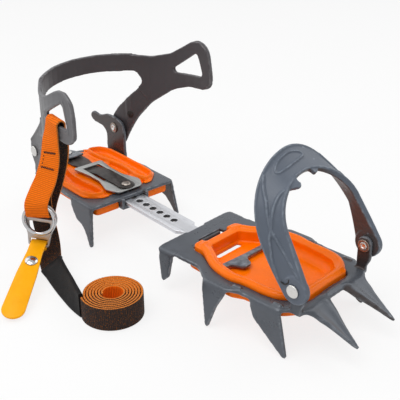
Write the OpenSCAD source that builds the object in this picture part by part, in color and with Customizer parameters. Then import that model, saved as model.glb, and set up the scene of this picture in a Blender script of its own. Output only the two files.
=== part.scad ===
// Strap crampon for a boot: heel and front frames of stamped steel on a flat adjustment bar,
// with a toe cage, a heel cradle, a quick lock and a buckled strap whose tail is rolled up beside it.
// Millimetres, +X towards the toe, +Z up, spike tips on Z = 0. The buckle hangs on the -Y side.

/* [Frames] */
// Height of the frames' top face above the spike tips
plate_top = 34; // [31:0.5:38]
// Thickness of the stamped steel
steel_t = 3; // [2.6:0.1:3.3]
// Length of the heel frame
heel_len = 108; // [104:1:114]
// Width of the heel frame over its ears
heel_w = 80; // [76:1:84]
// Width of the heel frame at its front edge
heel_front_w = 84; // [82:1:88]
// Gap between the two frames along the bar
frame_gap = 78; // [66:1:90]
// Length of the front frame to the roots of its front points
front_len = 131; // [126:1:138]
// Width of the front frame at its rear edge
front_w = 81; // [79:1:86]
// Angle that the front frame turns towards the big toe
front_yaw = 6; // [0:0.5:7]
// Length of a front point beyond its root
point_len = 39; // [33:1:44]
// Angle that the front points slope down
point_drop = 28; // [22:1:32]

/* [Adjustment bar] */
// Width of the bar
bar_w = 20; // [18:0.5:22]
// Thickness of the bar
bar_t = 3; // [2.5:0.1:3.5]
// Diameter of the adjustment holes
hole_d = 5.6; // [5.4:0.1:6.4]
// Distance from hole to hole
hole_pitch = 9; // [8.5:0.1:9.5]
// Number of holes
hole_count = 14; // [12:1:14]
// Vertical play of the bar under the frames
bar_play = 0.7; // [0.6:0.1:0.9]

/* [Lock] */
// Diameter of the lock pin
pin_d = 5; // [4.4:0.1:5.1]
// Distance of the pin behind the front edge of the heel frame
pin_back = 10.1; // [9.5:0.1:11]
// Width of the leaf spring
leaf_w = 14; // [12:0.5:15]
// Thickness of the leaf spring
leaf_t = 1.2; // [1:0.1:1.4]
// Length of the lifting lever
lever_len = 64; // [58:1:66]
// Width of the lever's front edge
lever_w = 34; // [31:0.5:35]
// Thickness of the lever
lever_t = 1.5; // [1.2:0.1:1.8]

/* [Pivots] */
// Shank diameter of the pivot rivets
rivet_d = 6; // [5:0.2:7]
// Head diameter of the pivot rivets
rivet_head = 9; // [8:0.2:11]
// Radial play of a pivot on its rivet
pivot_play = 0.05; // [0.03:0.01:0.08]
// Height of the heel pivots above the top face
heel_pivot_up = 25.5; // [24:0.5:28]
// Height of the toe pivots above the top face
toe_pivot_up = 18.5; // [17:0.5:21]

/* [Toe cage] */
// Height of the arch over its pivots
cage_h = 72; // [66:1:80]
// Thickness of the moulded band
cage_t = 4.4; // [3.6:0.1:5]
// Width of the band on the sides
cage_w = 26; // [23:0.5:28]
// Width of the band at the lower ends
cage_end_w = 20; // [18:0.5:22]
// Angle that the cage leans back
cage_lean = 25; // [15:1:30]
// How far the legs bow back
cage_bow = 5; // [0:0.5:7]

/* [Heel cradle] */
// Depth of the heel band's curve behind the rings' roots
cradle_deep = 89; // [85:1:93]
// Width of the cradle over its rings
cradle_w = 137; // [133:1:141]
// Thickness of the cradle's wall
cradle_t = 4; // [3.4:0.1:4.6]
// Height of the heel band
band_h = 16; // [14:0.5:18]
// Sideways twist of the soft cradle as it hangs
cradle_twist = 3; // [0:0.5:3.5]

/* [Anti-ball plates] */
// Height of the raised rims above the frames
rim_h = 4; // [3:0.2:5]
// Depth of the plates below the frames' underside
plate_drop = 6.5; // [6:0.1:8]
// Overlap of the heel plate's rim on the frame
rim_lip = 3; // [2:0.1:3.2]
// Thickness of the moulded skin
skin_t = 2.6; // [2:0.1:3]

/* [Strap and buckle] */
// Width of the webbing
strap_w = 17.6; // [16:0.2:18]
// Thickness of the webbing
strap_t = 1.6; // [1.2:0.1:1.7]
// Turns of the rolled strap tail
roll_turns = 7; // [4:1:7]
// Distance from turn to turn in the roll
roll_pitch = 2.1; // [2.1:0.05:2.3]
// Wire diameter of the buckle ring
wire_d = 3; // [2.6:0.1:3.2]
// Inside diameter of the buckle ring
ring_in = 20.4; // [20:0.2:22]
// Thickness of the buckle plate
buckle_t = 2; // [1.6:0.1:2.2]
// Length of the pull tab
tab_len = 76; // [66:1:80]
// Width of the pull tab's round end
tab_w = 17; // [15:0.5:19]
// Thickness of the pull tab
tab_t = 1.8; // [1.4:0.1:2]

/* [Hidden] */
$fn = 48;
steel = [0.36, 0.38, 0.42];
orange = [1.0, 0.42, 0.02];
cage_grey = [0.36, 0.40, 0.44];
cradle_grey = [0.46, 0.45, 0.45];
silver = [0.74, 0.76, 0.78];
tan_metal = [0.74, 0.62, 0.54];
black = [0.14, 0.13, 0.13];
amber = [1.0, 0.68, 0.05];

// Clearance between pieces that do not move on each other
fit_gap = 0.3;
eps = 0.01;
plate_z = plate_top - steel_t;
bar_top = plate_z - bar_play;
bar_z = bar_top - bar_t;
rim_top = plate_top + rim_h;
tray_z = plate_z - plate_drop;

// Heel frame, measured back from its front edge at x = 0
heel_half = heel_w / 2;
heel_front_half = heel_front_w / 2;
heel_strip = 11;
heel_corner = heel_len - 16;
heel_rear_half = 18;
heel_rim = 6.5;
heel_pivot_x = -78;
heel_pivot_z = plate_top + heel_pivot_up;
heel_tilt = 7;
rear_tilt = 6;

// Front frame, measured forward from its rear edge, with places given for a length of 131
front_half = front_w / 2;
stretch = front_len / 131;
function stretched(h) = [for (p = h) [p.x * stretch, p.y, p.z]];
tee_x = 7.5;
tee_strip = 15;
toe_pivot_x = 127 * stretch;
toe_pivot_z = plate_top + toe_pivot_up;
toe_ear_out = 38;
toe_ear_half = 5.5;
outer_tilt = 7.5;
inner_tilt = 1.5;

// The rear horns and the front tips set the middle of the whole length, which is x = 0
horn_reach = 118;
tip_x = front_len - 1 + point_len * cos(point_drop);
front_reach = frame_gap + tip_x * cos(front_yaw) + 21 * sin(front_yaw);
heel_x = (horn_reach - front_reach) / 2;

// Shared shapes
function unit(v) = v / norm(v);
function turn_to(a, b) = let (d = b - a) d > 180 ? d - 360 : d < -180 ? d + 360 : d;
function corner(a, p, b, r, n) =
    let (u = unit(a - p), w = unit(b - p), half = acos(max(-1, min(1, u * w))) / 2,
         c = p + unit(u + w) * r / sin(half), s = p + u * r / tan(half), e = p + w * r / tan(half),
         a0 = atan2(s.y - c.y, s.x - c.x), da = turn_to(a0, atan2(e.y - c.y, e.x - c.x)))
    [for (i = [0:n]) c + r * [cos(a0 + da * i / n), sin(a0 + da * i / n)]];
function flat(p) = [p.x, p.y];
// Outline of [x, y, radius] corners as a list of points
function rounded(q, n = 4) = let (m = len(q)) [for (i = [0:m - 1])
    each q[i].z > 0
        ? corner(flat(q[(i + m - 1) % m]), flat(q[i]), flat(q[(i + 1) % m]), q[i].z, n)
        : [flat(q[i])]];
// Whole outline from its +Y half, listed from rear to front
function mirrored(h) = concat([for (p = h) p], [for (i = [len(h) - 1:-1:0]) [h[i].x, -h[i].y, h[i].z]]);
function smooth(s) = s * s * (3 - 2 * s);

module sheet(z0, t, pts) {
    translate([0, 0, z0]) linear_extrude(t) polygon(pts);
}
module side_plate(y0, t, pts) {
    translate([0, y0 + t, 0]) rotate([90, 0, 0]) linear_extrude(t) polygon(pts);
}
module both_sides() {
    children();
    mirror([0, 1, 0]) children();
}
module y_rod(x, z, y0, l, d) {
    translate([x, y0, z]) rotate([-90, 0, 0]) cylinder(h = l, d = d);
}
module front_place() {
    translate([frame_gap, 0, 0]) rotate([0, 0, front_yaw]) children();
}
module placed() {
    translate([heel_x, 0, 0]) children();
}

// A spike bent down along the edge y, with its outline as [x, share of its reach, radius]
spike_top = plate_top - 0.2;
function reach(tilt) = (spike_top - steel_t * sin(tilt)) / cos(tilt);
module spike(y, tilt, shape) {
    translate([0, y, spike_top]) rotate([tilt, 0, 0])
        side_plate(-steel_t, steel_t, rounded([for (p = shape) [p.x, -p.y * reach(tilt), p.z]], 3));
}

// Heel section
function heel_hole(g) = rounded(mirrored([
    [-heel_len + 5 + g, heel_rear_half - 4, 6], [-heel_corner + 4 + g, heel_half - heel_rim - g, 8],
    [-heel_strip - 8, heel_half - heel_rim - g, 8], [-heel_strip - g, heel_half - heel_rim - 9, 6]]));
heel_outline = rounded(mirrored([
    [-heel_len, heel_rear_half, 8], [-heel_corner, heel_half - 0.25, 4], [-62, heel_half - 0.25, 10],
    [-36, heel_front_half, 10], [0, heel_front_half, 2.5]]));
heel_flange = rounded(mirrored([
    [-heel_len + 6, heel_rear_half - 6, 6], [-heel_corner + 3, heel_half - steel_t - 1, 6],
    [-1.5, heel_half - steel_t - 1, 3]]));
heel_front_spike = [[-32, 0, 0], [-30, 0.18, 3], [-26, 0.34, 4], [-20.5, 0.5, 6], [-11.5, 0.57, 6],
    [-5.5, 0.76, 8], [-0.4, 1, 0], [1.6, 1, 0], [2.2, 0.95, 0], [-0.3, 0.3, 6], [-0.3, 0, 0]];
heel_rear_spike = [[-9.5, 0, 0], [-8.5, 0.3, 5], [-4, 0.62, 8], [1.5, 1, 0], [3.6, 1, 0],
    [6.5, 0.55, 6], [9.5, 0.1, 0], [9.5, 0, 0]];
// Ear outlines, measured from the pivot: the +Y ear carries a horn that points back
ear_root = -heel_pivot_up - steel_t + 0.6;
ear_front = [[-2, 9.8, 8], [11.5, 7.4, 6], [14, -3, 8], [13.5, -19, 10], [15.5, ear_root, 0]];
horn_ear = concat([[-14, ear_root, 0], [-12.5, -8, 6], [-19, -3.6, 8], [-31, -3.4, 5],
    [-40, 0.4, 3.4], [-34, 6.6, 4], [-24, 5, 12], [-12, 9.4, 10]], ear_front);
plain_ear = concat([[-12, ear_root, 0], [-9, -9, 8], [-8.5, 6, 6]], ear_front);

function ear_outline(shape) = rounded([for (p = shape) [p.x + heel_pivot_x, p.y + heel_pivot_z, p.z]], 3);
module heel_frame() {
    color(steel) difference() {
        union() {
            difference() {
                sheet(plate_z, steel_t, heel_outline);
                sheet(plate_z - 1, steel_t + 2, heel_hole(0));
            }
            side_plate(heel_half - steel_t, steel_t, ear_outline(horn_ear));
            side_plate(-heel_half, steel_t, ear_outline(plain_ear));
            both_sides() {
                spike(heel_front_half - 0.3, heel_tilt, heel_front_spike);
                rear_spike();
                bar_lug();
            }
        }
        y_rod(heel_pivot_x, heel_pivot_z, -heel_half - 1, heel_w + 2, rivet_d + 0.06);
        translate([-pin_back, 0, plate_z - 1]) cylinder(h = steel_t + 2, d = pin_d + 1);
    }
}
// Rear spike on the slanting corner edge between the side and the rear edge
module rear_spike() {
    slant = atan2(heel_half - heel_rear_half, heel_len - heel_corner);
    translate([-(heel_corner + heel_len) / 2, (heel_half + heel_rear_half) / 2, 0])
        rotate([0, 0, slant]) spike(-0.3, rear_tilt, heel_rear_spike);
}
// Hooked lug that carries the bar under the front strip
module bar_lug() {
    lug_y = bar_w / 2 + 0.4;
    low = bar_z - 0.4 - steel_t;
    high = plate_top - 0.4;
    profile = [[lug_y - 5, low], [lug_y + steel_t, low], [lug_y + steel_t, high], [lug_y, high],
        [lug_y, low + steel_t], [lug_y - 5, low + steel_t]];
    translate([-5, 0, 0]) rotate([90, 0, 90]) linear_extrude(8) polygon(profile);
}

lock_floor = plate_top + 0.3;
lock_half = lever_w / 2 + 0.9;
channel_half = bar_w / 2 + steel_t + 0.8;
module heel_antiball_plate() {
    side_in = lock_half + 3;
    side_out = heel_half - heel_rim - fit_gap - skin_t;
    color(orange) difference() {
        union() {
            sheet(tray_z, rim_top - tray_z, heel_hole(fit_gap));
            sheet(tray_z, plate_z - 0.05 - tray_z, heel_flange);
            difference() {
                sheet(plate_top + 0.05, rim_h - 1, heel_hole(-rim_lip));
                translate([-heel_len, -lock_half, plate_z]) cube([heel_len, 2 * lock_half, rim_top]);
            }
        }
        translate([-heel_len, -lock_half, lock_floor]) cube([heel_len, 2 * lock_half, rim_top]);
        translate([-heel_len - 1, -channel_half, tray_z - 1])
            cube([heel_len + 2, 2 * channel_half, bar_top + fit_gap - tray_z + 1]);
        translate([-6, -channel_half, tray_z]) cube([8, 2 * channel_half, plate_z - tray_z + 0.2]);
        both_sides() translate([-heel_corner + 8, side_in, tray_z - 1])
            cube([heel_corner - heel_strip - 22, side_out - side_in, rim_top - skin_t - tray_z + 1]);
        translate([-pin_back, 0, 0]) cylinder(h = 2 * plate_top, d = pin_d + 1.4);
        translate([clamp_x, 0, 0]) cylinder(h = 2 * plate_top, d = clamp_rivet_d + 0.1);
    }
}

// Quick lock on the heel frame: a leaf spring held by a clamp, its pin and the lever that lifts it
clamp_rivet_d = 5;
clamp_x = -heel_len + 8;
leaf_back = clamp_x + 4.5;
leaf_low = lock_floor + 0.4;
lever_z = leaf_low + leaf_t + 0.2;
leaf_high = lever_z + lever_t + 0.2;
lever_back = -4 - lever_len;
module spring_clamp() {
    lip = 7.5;
    lip_tilt = 8;
    lip_z = leaf_low + leaf_t + 0.25;
    clamp_t = 1.9;
    rise = lip * tan(lip_tilt);
    profile = [[clamp_x - 6.5, lock_floor], [leaf_back - 0.6, lock_floor], [leaf_back - 0.6, lip_z],
        [leaf_back + lip, lip_z + rise], [leaf_back + lip, lip_z + rise + clamp_t - 0.4],
        [leaf_back - 0.6, lip_z + clamp_t], [clamp_x - 6.5, lip_z + clamp_t]];
    plan = rounded([[clamp_x - 6.5, -5, 4], [leaf_back - 2, -9, 4], [leaf_back + lip, -10, 2],
        [leaf_back + lip, 10, 2], [leaf_back - 2, 9, 4], [clamp_x - 6.5, 5, 4]]);
    color(steel) difference() {
        intersection() {
            side_plate(-12, 24, profile);
            sheet(plate_z, 20, plan);
        }
        translate([clamp_x, 0, 0]) cylinder(h = 2 * plate_top, d = clamp_rivet_d + 0.1);
    }
}
module clamp_rivet() {
    head_z = leaf_low + leaf_t + 0.25 + 1.9;
    foot_z = bar_top + fit_gap + 0.2;
    color(silver) translate([clamp_x, 0, 0]) {
        translate([0, 0, foot_z]) cylinder(h = head_z - foot_z + eps, d = clamp_rivet_d);
        translate([0, 0, head_z]) cylinder(h = 1, d = 8);
        translate([0, 0, head_z + 1]) cylinder(h = 0.6, d1 = 8, d2 = 6);
    }
}
module leaf_spring() {
    ramp_a = lever_back + 8;
    ramp_b = ramp_a + 16;
    tip = -pin_back + leaf_w / 2;
    profile = [[leaf_back, leaf_low], [ramp_a, leaf_low], [ramp_b, leaf_high], [tip, leaf_high],
        [tip, leaf_high + leaf_t], [ramp_b, leaf_high + leaf_t], [ramp_a, leaf_low + leaf_t],
        [leaf_back, leaf_low + leaf_t]];
    color(black) difference() {
        intersection() {
            side_plate(-leaf_w, 2 * leaf_w, profile);
            union() {
                sheet(plate_z, 20, rounded(mirrored([[leaf_back - 1, leaf_w / 2 + 2, 0],
                    [leaf_back + 16, leaf_w / 2 + 2, 0], [leaf_back + 24, leaf_w / 2, 0],
                    [-pin_back, leaf_w / 2, 0]])));
                translate([-pin_back, 0, plate_z]) cylinder(h = 20, d = leaf_w);
            }
        }
        translate([-pin_back, 0, 0]) cylinder(h = 2 * plate_top, d = pin_d + 0.1);
    }
}
module lock_lever() {
    waist = lever_w / 2 - 5.5;
    outline = rounded(mirrored([
        [lever_back, lever_w / 2 - 2.5, 2], [lever_back + 20, waist, 14], [-32, waist, 14],
        [-15, lever_w / 2, 7], [-4, lever_w / 2 - 5, 5]]));
    window = rounded(mirrored([[lever_back + 5, leaf_w / 2 + 1.2, 1], [-30, leaf_w / 2 + 1.2, 1]]));
    color(silver) difference() {
        sheet(lever_z, lever_t, outline);
        sheet(lever_z - 1, lever_t + 2, window);
        translate([-pin_back, 0, 0]) cylinder(h = 2 * plate_top, d = pin_d + 1);
    }
}
module lock_pin() {
    head_z = leaf_high + leaf_t + 0.05;
    color(silver) translate([-pin_back, 0, 0]) {
        translate([0, 0, bar_z + 0.4]) cylinder(h = head_z - bar_z - 0.4 + eps, d = pin_d);
        translate([0, 0, head_z]) cylinder(h = 0.8, d = 7.4);
        translate([0, 0, head_z + 0.8]) cylinder(h = 0.6, d1 = 7.4, d2 = 5.4);
    }
}

// Adjustment bar with its row of holes, a narrow neck and a tee that hooks the front frame's rear strip
first_hole = -pin_back - 6 * hole_pitch;
bar_back = 6 - first_hole;
neck_half = 6.5;
tee_half = 11;
function tee_point(x, y) = [frame_gap + x * cos(front_yaw) - y * sin(front_yaw),
    x * sin(front_yaw) + y * cos(front_yaw)];
module adjust_bar() {
    half = bar_w / 2;
    hook_x = tee_strip + 0.8;
    hook_t = 2.4;
    tee_back = tee_strip - 2;
    tee_front = hook_x + hook_t;
    outline = [[-bar_back, -half + 3], [-bar_back + 3, -half], [frame_gap - 11, -half],
        [frame_gap - 6.5, -neck_half], tee_point(2, -neck_half), tee_point(tee_back, -neck_half),
        tee_point(tee_back, -tee_half), tee_point(tee_front, -tee_half), tee_point(tee_front, tee_half),
        tee_point(tee_back, tee_half), tee_point(tee_back, neck_half), tee_point(2, neck_half),
        [frame_gap - 10, neck_half], [frame_gap - 12, half], [-bar_back + 3, half], [-bar_back, half - 3]];
    color(silver) difference() {
        union() {
            sheet(bar_z, bar_t, outline);
            front_place() translate([hook_x, -tee_half + 1.5, bar_z + 1])
                cube([hook_t - 0.2, 2 * tee_half - 3, plate_top - 0.6 - bar_z - 1]);
        }
        for (i = [0:hole_count - 1]) translate([first_hole + i * hole_pitch, 0, bar_z - 1])
            cylinder(h = bar_t + 2, d = hole_d);
    }
}

// Pivot rivets of the heel cradle and of the toe cage
arm_in = heel_half + fit_gap;
arm_t = 3.8;
cage_in = toe_ear_out + fit_gap;
boss_t = cage_t + 0.5;
module rivet(x, z, in_y, out_y) {
    y_rod(x, z, in_y - 1.6, out_y + fit_gap - in_y + 1.6 + eps, rivet_d);
    y_rod(x, z, out_y + fit_gap, 1.3, rivet_head);
}
module washer(x, z, in_y) {
    difference() {
        y_rod(x, z, in_y - 1.2, 1.2, rivet_head);
        y_rod(x, z, in_y - 2, 3, rivet_d + 0.06);
    }
}
module heel_rivets() {
    color(silver) both_sides() rivet(heel_pivot_x, heel_pivot_z, heel_half - steel_t, arm_in + arm_t);
}
module heel_washers() {
    color(tan_metal) both_sides() washer(heel_pivot_x, heel_pivot_z, heel_half - steel_t);
}
module toe_rivets() {
    color(silver) front_place() both_sides()
        rivet(toe_pivot_x, toe_pivot_z, toe_ear_out - steel_t, cage_in + boss_t);
}
module toe_washers() {
    color(tan_metal) front_place() both_sides() washer(toe_pivot_x, toe_pivot_z, toe_ear_out - steel_t);
}

// Heel cradle: a band round the heel with a strap ring at each end, on two arms
cradle_x = 10;
band_z = 122.6;
ring_shape = [[-64, band_z + 8, 0], [-38, 128.5, 20], [-20, 132.5, 16], [3, 145, 8], [13, 146, 7],
    [22, 140, 10], [24.5, 128, 14], [25, 112, 6], [15, 105.5, 6], [-2, 105.3, 16], [-16, 101.5, 16],
    [-28, 96, 10], [-40, 87, 0], [-50, 99.5, 4], [-45.5, 106, 3], [-49, band_z - 8, 5],
    [-64, band_z - 8, 0]];
ring_hole = [[9, 136, 2.5], [-17.5, 119.5, 1.6], [-15.5, 116.8, 1.4], [14.5, 117.4, 2.5]];
arm_shape = [[-85.5, 68, 10], [-86.5, 55, 9], [-80, 43, 5], [-71, 45, 8], [-63.5, 57, 14],
    [-54, 71.5, 30], [-40.5, 86.5, 30], [-24, 97.5, 0], [-18, 112, 0], [-42, 114, 0],
    [-45.6, 104, 6], [-55, 96, 30], [-76.5, 78, 30]];
module about_heel_pivot(a) {
    translate([heel_pivot_x, 0, heel_pivot_z]) rotate([0, a, 0])
        translate([-heel_pivot_x, 0, -heel_pivot_z]) children();
}
// Plan of the wall: half an ellipse behind the rings' roots and straight sides in front of them
function wall_side(g) = [for (a = [90:6:270])
    [cradle_x + (cradle_deep - g) * cos(a), (cradle_w / 2 - g) * sin(a)]];
wall_plan = concat([[40, cradle_w / 2]], wall_side(0),
    [[40, -cradle_w / 2], [40, -cradle_w / 2 + cradle_t]],
    [for (p = wall_side(cradle_t)) [p.x, -p.y]], [[40, cradle_w / 2 - cradle_t]]);
module cradle_side(sign) {
    lean = -sign * cradle_twist;
    root = cradle_w / 2 - cradle_t - 5;
    plan = [[-93, arm_in], [heel_pivot_x + 13, arm_in], [-24, root], [-12, root + 2.8], [-12, root + 6.2],
        [-25, root + 3.8], [heel_pivot_x + 11.5, arm_in + arm_t], [-93, arm_in + arm_t]];
    about_heel_pivot(lean) intersection() {
        about_heel_pivot(-lean) sheet(20, 150, wall_plan);
        side_plate(sign > 0 ? 20 : -100, 80, rounded(ring_shape));
    }
    about_heel_pivot(lean) intersection() {
        about_heel_pivot(-lean) sheet(20, 150, [for (p = plan) [p.x, sign * p.y]]);
        side_plate(sign > 0 ? 20 : -100, 80, rounded(arm_shape));
    }
}
module heel_cradle() {
    reach_back = cradle_x - cradle_deep - 1;
    color(cradle_grey) difference() {
        union() {
            for (sign = [-1, 1]) cradle_side(sign);
            intersection() {
                sheet(20, 150, wall_plan);
                translate([0, 0, band_z]) rotate([cradle_twist / 2, 0, 0])
                    translate([reach_back, -100, -band_h / 2]) cube([-56 - reach_back, 200, band_h]);
            }
        }
        for (sign = [-1, 1]) about_heel_pivot(-sign * cradle_twist)
            side_plate(sign > 0 ? 20 : -100, 80, rounded(ring_hole));
        y_rod(heel_pivot_x, heel_pivot_z, -100, 200, rivet_d + 2 * pivot_play);
    }
}

// Front section
function front_hole(g) = rounded(mirrored(stretched([
    [20 + g, 24 - g, 5], [32, 25 - g, 8], [50, 34.5 - g, 12], [68, 38.6 - g, 14], [82, 35.8 - g, 14],
    [97, 36.4 - g, 12], [109, 33.8 - g, 8], [123.5 - g, 22.5 - g, 6]])), 3);
front_outline = rounded(mirrored(stretched([
    [0, front_half, 2], [16, front_half - 2, 10], [41, front_half - 2, 14], [53, 47, 8], [75, 49.2, 8],
    [82, 44, 6], [95, 45, 8], [117, 43.8, 4], [121, toe_ear_out, 3], [127, toe_ear_out, 3],
    [133, 31, 3], [131, 8, 5]])), 3);
front_flange = rounded(mirrored(stretched([
    [24, 33, 6], [42, front_half - steel_t - 3.5, 10], [54, 42, 8], [75, 43, 8], [84, 39, 8],
    [114, 38.5, 8], [124, 26, 8]])), 3);
rear_spike_shape = [[2, 0, 0], [2, 0.25, 4], [4.2, 0.74, 2], [6.2, 0.78, 1], [11.5, 0.63, 2], [16, 0, 0]];
outer_spike_shape = [[53, 0, 0], [54, 0.15, 4], [60, 0.97, 0], [61, 1, 0], [62.6, 1, 0],
    [68, 0.5, 10], [75, 0.1, 4], [75.5, 0, 0]];
inner_spike_shape = [[92, 0, 0], [93, 0.18, 4], [96, 0.42, 6], [120.5, 0.97, 0], [122, 1, 0], [124.5, 1, 0],
    [123.5, 0.85, 8], [117, 0, 0]];
point_shape = [[0.3, 8.2, 0], [0.3, 32, 0], [4, 31.4, 5], [16, 26.8, 16], [point_len - 1, 22.4, 1],
    [point_len, 21, 1], [point_len - 3, 19.2, 6], [22, 15, 16], [7, 8.4, 5]];
ridge_shape = [[0, 0], [point_len - 12, 0], [point_len - 16, 1.8], [4, 2.2]];
module front_frame() {
    color(steel) front_place() difference() {
        union() {
            difference() {
                sheet(plate_z, steel_t, front_outline);
                sheet(plate_z - 1, steel_t + 2, front_hole(0));
                translate([tee_strip, -tee_half - 1, plate_z - 1]) cube([8, 2 * tee_half + 2, steel_t + 2]);
                translate([-1, -9.4, plate_z - 1]) cube([2.2, 18.8, steel_t + 2]);
            }
            both_sides() {
                spike(front_half - 0.6, inner_tilt, stretched(rear_spike_shape));
                spike(49, outer_tilt, stretched(outer_spike_shape));
                spike(44.8, inner_tilt, stretched(inner_spike_shape));
                front_point();
                toe_ear();
                edge_clips();
            }
        }
        y_rod(toe_pivot_x, toe_pivot_z, -60, 120, rivet_d + 0.06);
    }
}
module front_point() {
    translate([front_len - 1, 0, plate_top]) rotate([0, point_drop, 0]) {
        sheet(-steel_t, steel_t, rounded(point_shape, 3));
        translate([2, 19.9, -1]) rotate([0, 0, 2.5]) side_plate(0, 2.6, ridge_shape);
    }
}
module toe_ear() {
    back = toe_pivot_x - toe_ear_half;
    front = toe_pivot_x + toe_ear_half;
    ear = [[back, plate_z, 0], [front - 3, plate_z, 0], [front - 3, plate_top + 2.2, 2],
        [front, plate_top + 8, 8], [front, toe_pivot_z + 6.4, 5], [back, toe_pivot_z + 6.4, 5]];
    side_plate(toe_ear_out - steel_t, steel_t, rounded(ear));
}
// Folded lugs on the edge that hold the anti-ball plate down
module edge_clips() {
    translate([76 * stretch, 40.5, plate_top - 1]) cube([7, 2.6, 2.6]);
    translate([109 * stretch, 38.4, plate_top - 1]) cube([7, 2.6, 2.6]);
}

pan_z = plate_top - 4;
module front_antiball_plate() {
    pan = rounded(mirrored(stretched([[31, 15, 4], [38, 19, 6], [52, 28, 10], [68, 31.6, 12],
        [97, 29.5, 10], [108, 27, 8], [115, 19, 6]])), 3);
    color(orange) front_place() difference() {
        union() {
            difference() {
                sheet(tray_z, rim_top - 1 - tray_z, front_hole(fit_gap));
                sheet(pan_z, rim_top, pan);
                sheet(tray_z - 1, pan_z - skin_t - tray_z + 1, pan);
            }
            difference() {
                sheet(tray_z, plate_z - tray_z, front_flange);
                sheet(tray_z - 1, plate_z - tray_z + 2, front_hole(4));
            }
        }
        translate([0, -tee_half - 2, tray_z - 1]) cube([24, 2 * tee_half + 4, rim_top]);
        translate([32 * stretch, -13, 0]) cube([3, 26, rim_top]);
    }
}
// Steel strip with a tongue across the pan
module front_cross_strip() {
    strip = rounded(stretched([[49, -25, 0], [56, -25, 0], [57, -20, 3], [64, -16, 4], [64, -7, 4],
        [57, -3, 3], [56, 25, 0], [49, 25, 0]]), 3);
    color(steel) front_place() sheet(pan_z, 2, strip);
}

// Toe cage: a band that leaves its pivots edge-on and rolls over to face forward at the top
cage_mid = cage_in + 0.2 + cage_t / 2;
cage_leg = 30;
cage_roll = 72;
function cage_v(f) = f < 0 ? cage_leg * (1 + f) : f > 180 ? cage_leg * (181 - f)
    : cage_leg + (cage_h - cage_leg) * sin(f);
function cage_y(f) = f < 0 ? -cage_mid : f > 180 ? cage_mid : -cage_mid * cos(f);
function cage_arc(f) = f < 0 || f > 180 ? 0 : sin(f);
function cage_pos(f) = let (v = cage_v(f))
    [toe_pivot_x - v * sin(cage_lean) - cage_bow * sin(120 * v / cage_h), cage_y(f),
     toe_pivot_z + v * cos(cage_lean)];
function cage_across(f) = let (b = cage_lean - cage_roll * cage_arc(f) * cage_arc(f)) [cos(b), 0, sin(b)];
function cage_half_w(f) = f < 0 ? (cage_end_w + (cage_w - cage_end_w) * (1 + f)) / 2
    : f > 180 ? (cage_end_w + (cage_w - cage_end_w) * (181 - f)) / 2
    : cage_w / 2 - 1.5 * cage_arc(f);
cage_steps = concat([-1, -0.5], [for (i = [0:15]) i * 12], [180.5, 181]);
function cage_ring(f) =
    let (step = 0.02, w = cage_across(f), t = unit(cage_pos(f + step) - cage_pos(f - step)),
         n = f < 0 ? [0, -1, 0] : f > 180 ? [0, 1, 0] : unit(cross(w, t)),
         p = cage_pos(f), h = cage_half_w(f))
    [p - w * h - n * cage_t / 2, p + w * h - n * cage_t / 2,
     p + w * (h - 1.2) + n * cage_t / 2, p - w * (h - 1.2) + n * cage_t / 2];
module loft(rings) {
    k = len(rings[0]);
    m = len(rings);
    quads = [for (i = [0:m - 2], j = [0:k - 1]) let (a = i * k + j, b = i * k + (j + 1) % k)
        each [[a, b, a + k], [b, b + k, a + k]]];
    first = [for (j = [1:k - 2]) [0, j + 1, j]];
    last = [for (j = [1:k - 2]) [(m - 1) * k, (m - 1) * k + j, (m - 1) * k + j + 1]];
    polyhedron(points = [for (r = rings) each r], faces = concat(quads, first, last));
}
module toe_cage() {
    color(cage_grey) front_place() difference() {
        union() {
            loft([for (f = cage_steps) cage_ring(f)]);
            both_sides() y_rod(toe_pivot_x, toe_pivot_z, cage_in, boss_t, cage_end_w);
        }
        y_rod(toe_pivot_x, toe_pivot_z, -60, 120, rivet_d + 2 * pivot_play);
    }
}

// Strap: routes as [x, y, z, turn of the width about Z, lift of the width]
buckle_turn = 44.5;
buckle_roll = 8;
buckle_at = [4, -89.5];
fold_z = 51;
fold_r = 5.3;
ring_z = 43.2;
function buckle_point(y, z) =
    [buckle_at.x - y * sin(buckle_turn), buckle_at.y + y * cos(buckle_turn), z, buckle_turn, 0];
eye_mid = [-1, -65.75, 112.8];
eye_turn = -5.6;
eye_r = cradle_t / 2 + 0.65 + strap_t / 2;
front_route = concat(
    [[-1, eye_mid.y + eye_r, 106, eye_turn, 0]],
    [for (a = [0:30:180]) [-1, eye_mid.y + eye_r * cos(a), eye_mid.z + eye_r * sin(a), eye_turn, 0]],
    [[-1, -70, 106, 0, 0], [-0.5, -71.8, 99, 8, 0], [0.8, -76.2, 86, 19, 0], [2.8, -81.8, 73, 31, 0],
     [4.8, -86.6, 66, 37, 0], buckle_point(-4.9, 58)],
    [for (a = [0:-30:-180]) buckle_point(-fold_r * cos(a) + 0.3, fold_z + fold_r * sin(a))],
    [[1.3, -85.7, 61, 42, 0], [1, -79.8, 71, 32, 0]]);
tail_route = [[-1, eye_mid.y + eye_r, 105.6, eye_turn, 0], [-1, -61.7, 97, 0, 0], [-1, -65.2, 84, 13, 0],
    [-1.4, -72.4, 68, 32, 0], [-2, -80, 52, buckle_turn, 0], [-2.2, -83.6, 38, buckle_turn, 0],
    [-3.4, -83, 24, 52, 0], [-0.8, -83.4, 14, 60, 4], [4.4, -85.1, 8, 70, 15],
    [9.1, -86.73, 5.88, 75, 26], [12.3, -87.86, 6.68, 76, 30]];
sleeve_route = [[12.4, -87.9, 6.7, 76, 30], [20, -90.6, 8.6, 78, 48], [32, -94.2, 9.3, 78.5, 57],
    [43.5, -97.2, 9.6, 78.5, 63], [54.5, -99.8, 9.9, 78.5, 69], [65, -102.2, 10, 77, 76],
    [73, -103.6, 10, 76, 83], [79.4, -104.6, 10, 72, 90]];
function width_dir(q) = [cos(q[3]) * cos(q[4]), sin(q[3]) * cos(q[4]), sin(q[4])];
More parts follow.
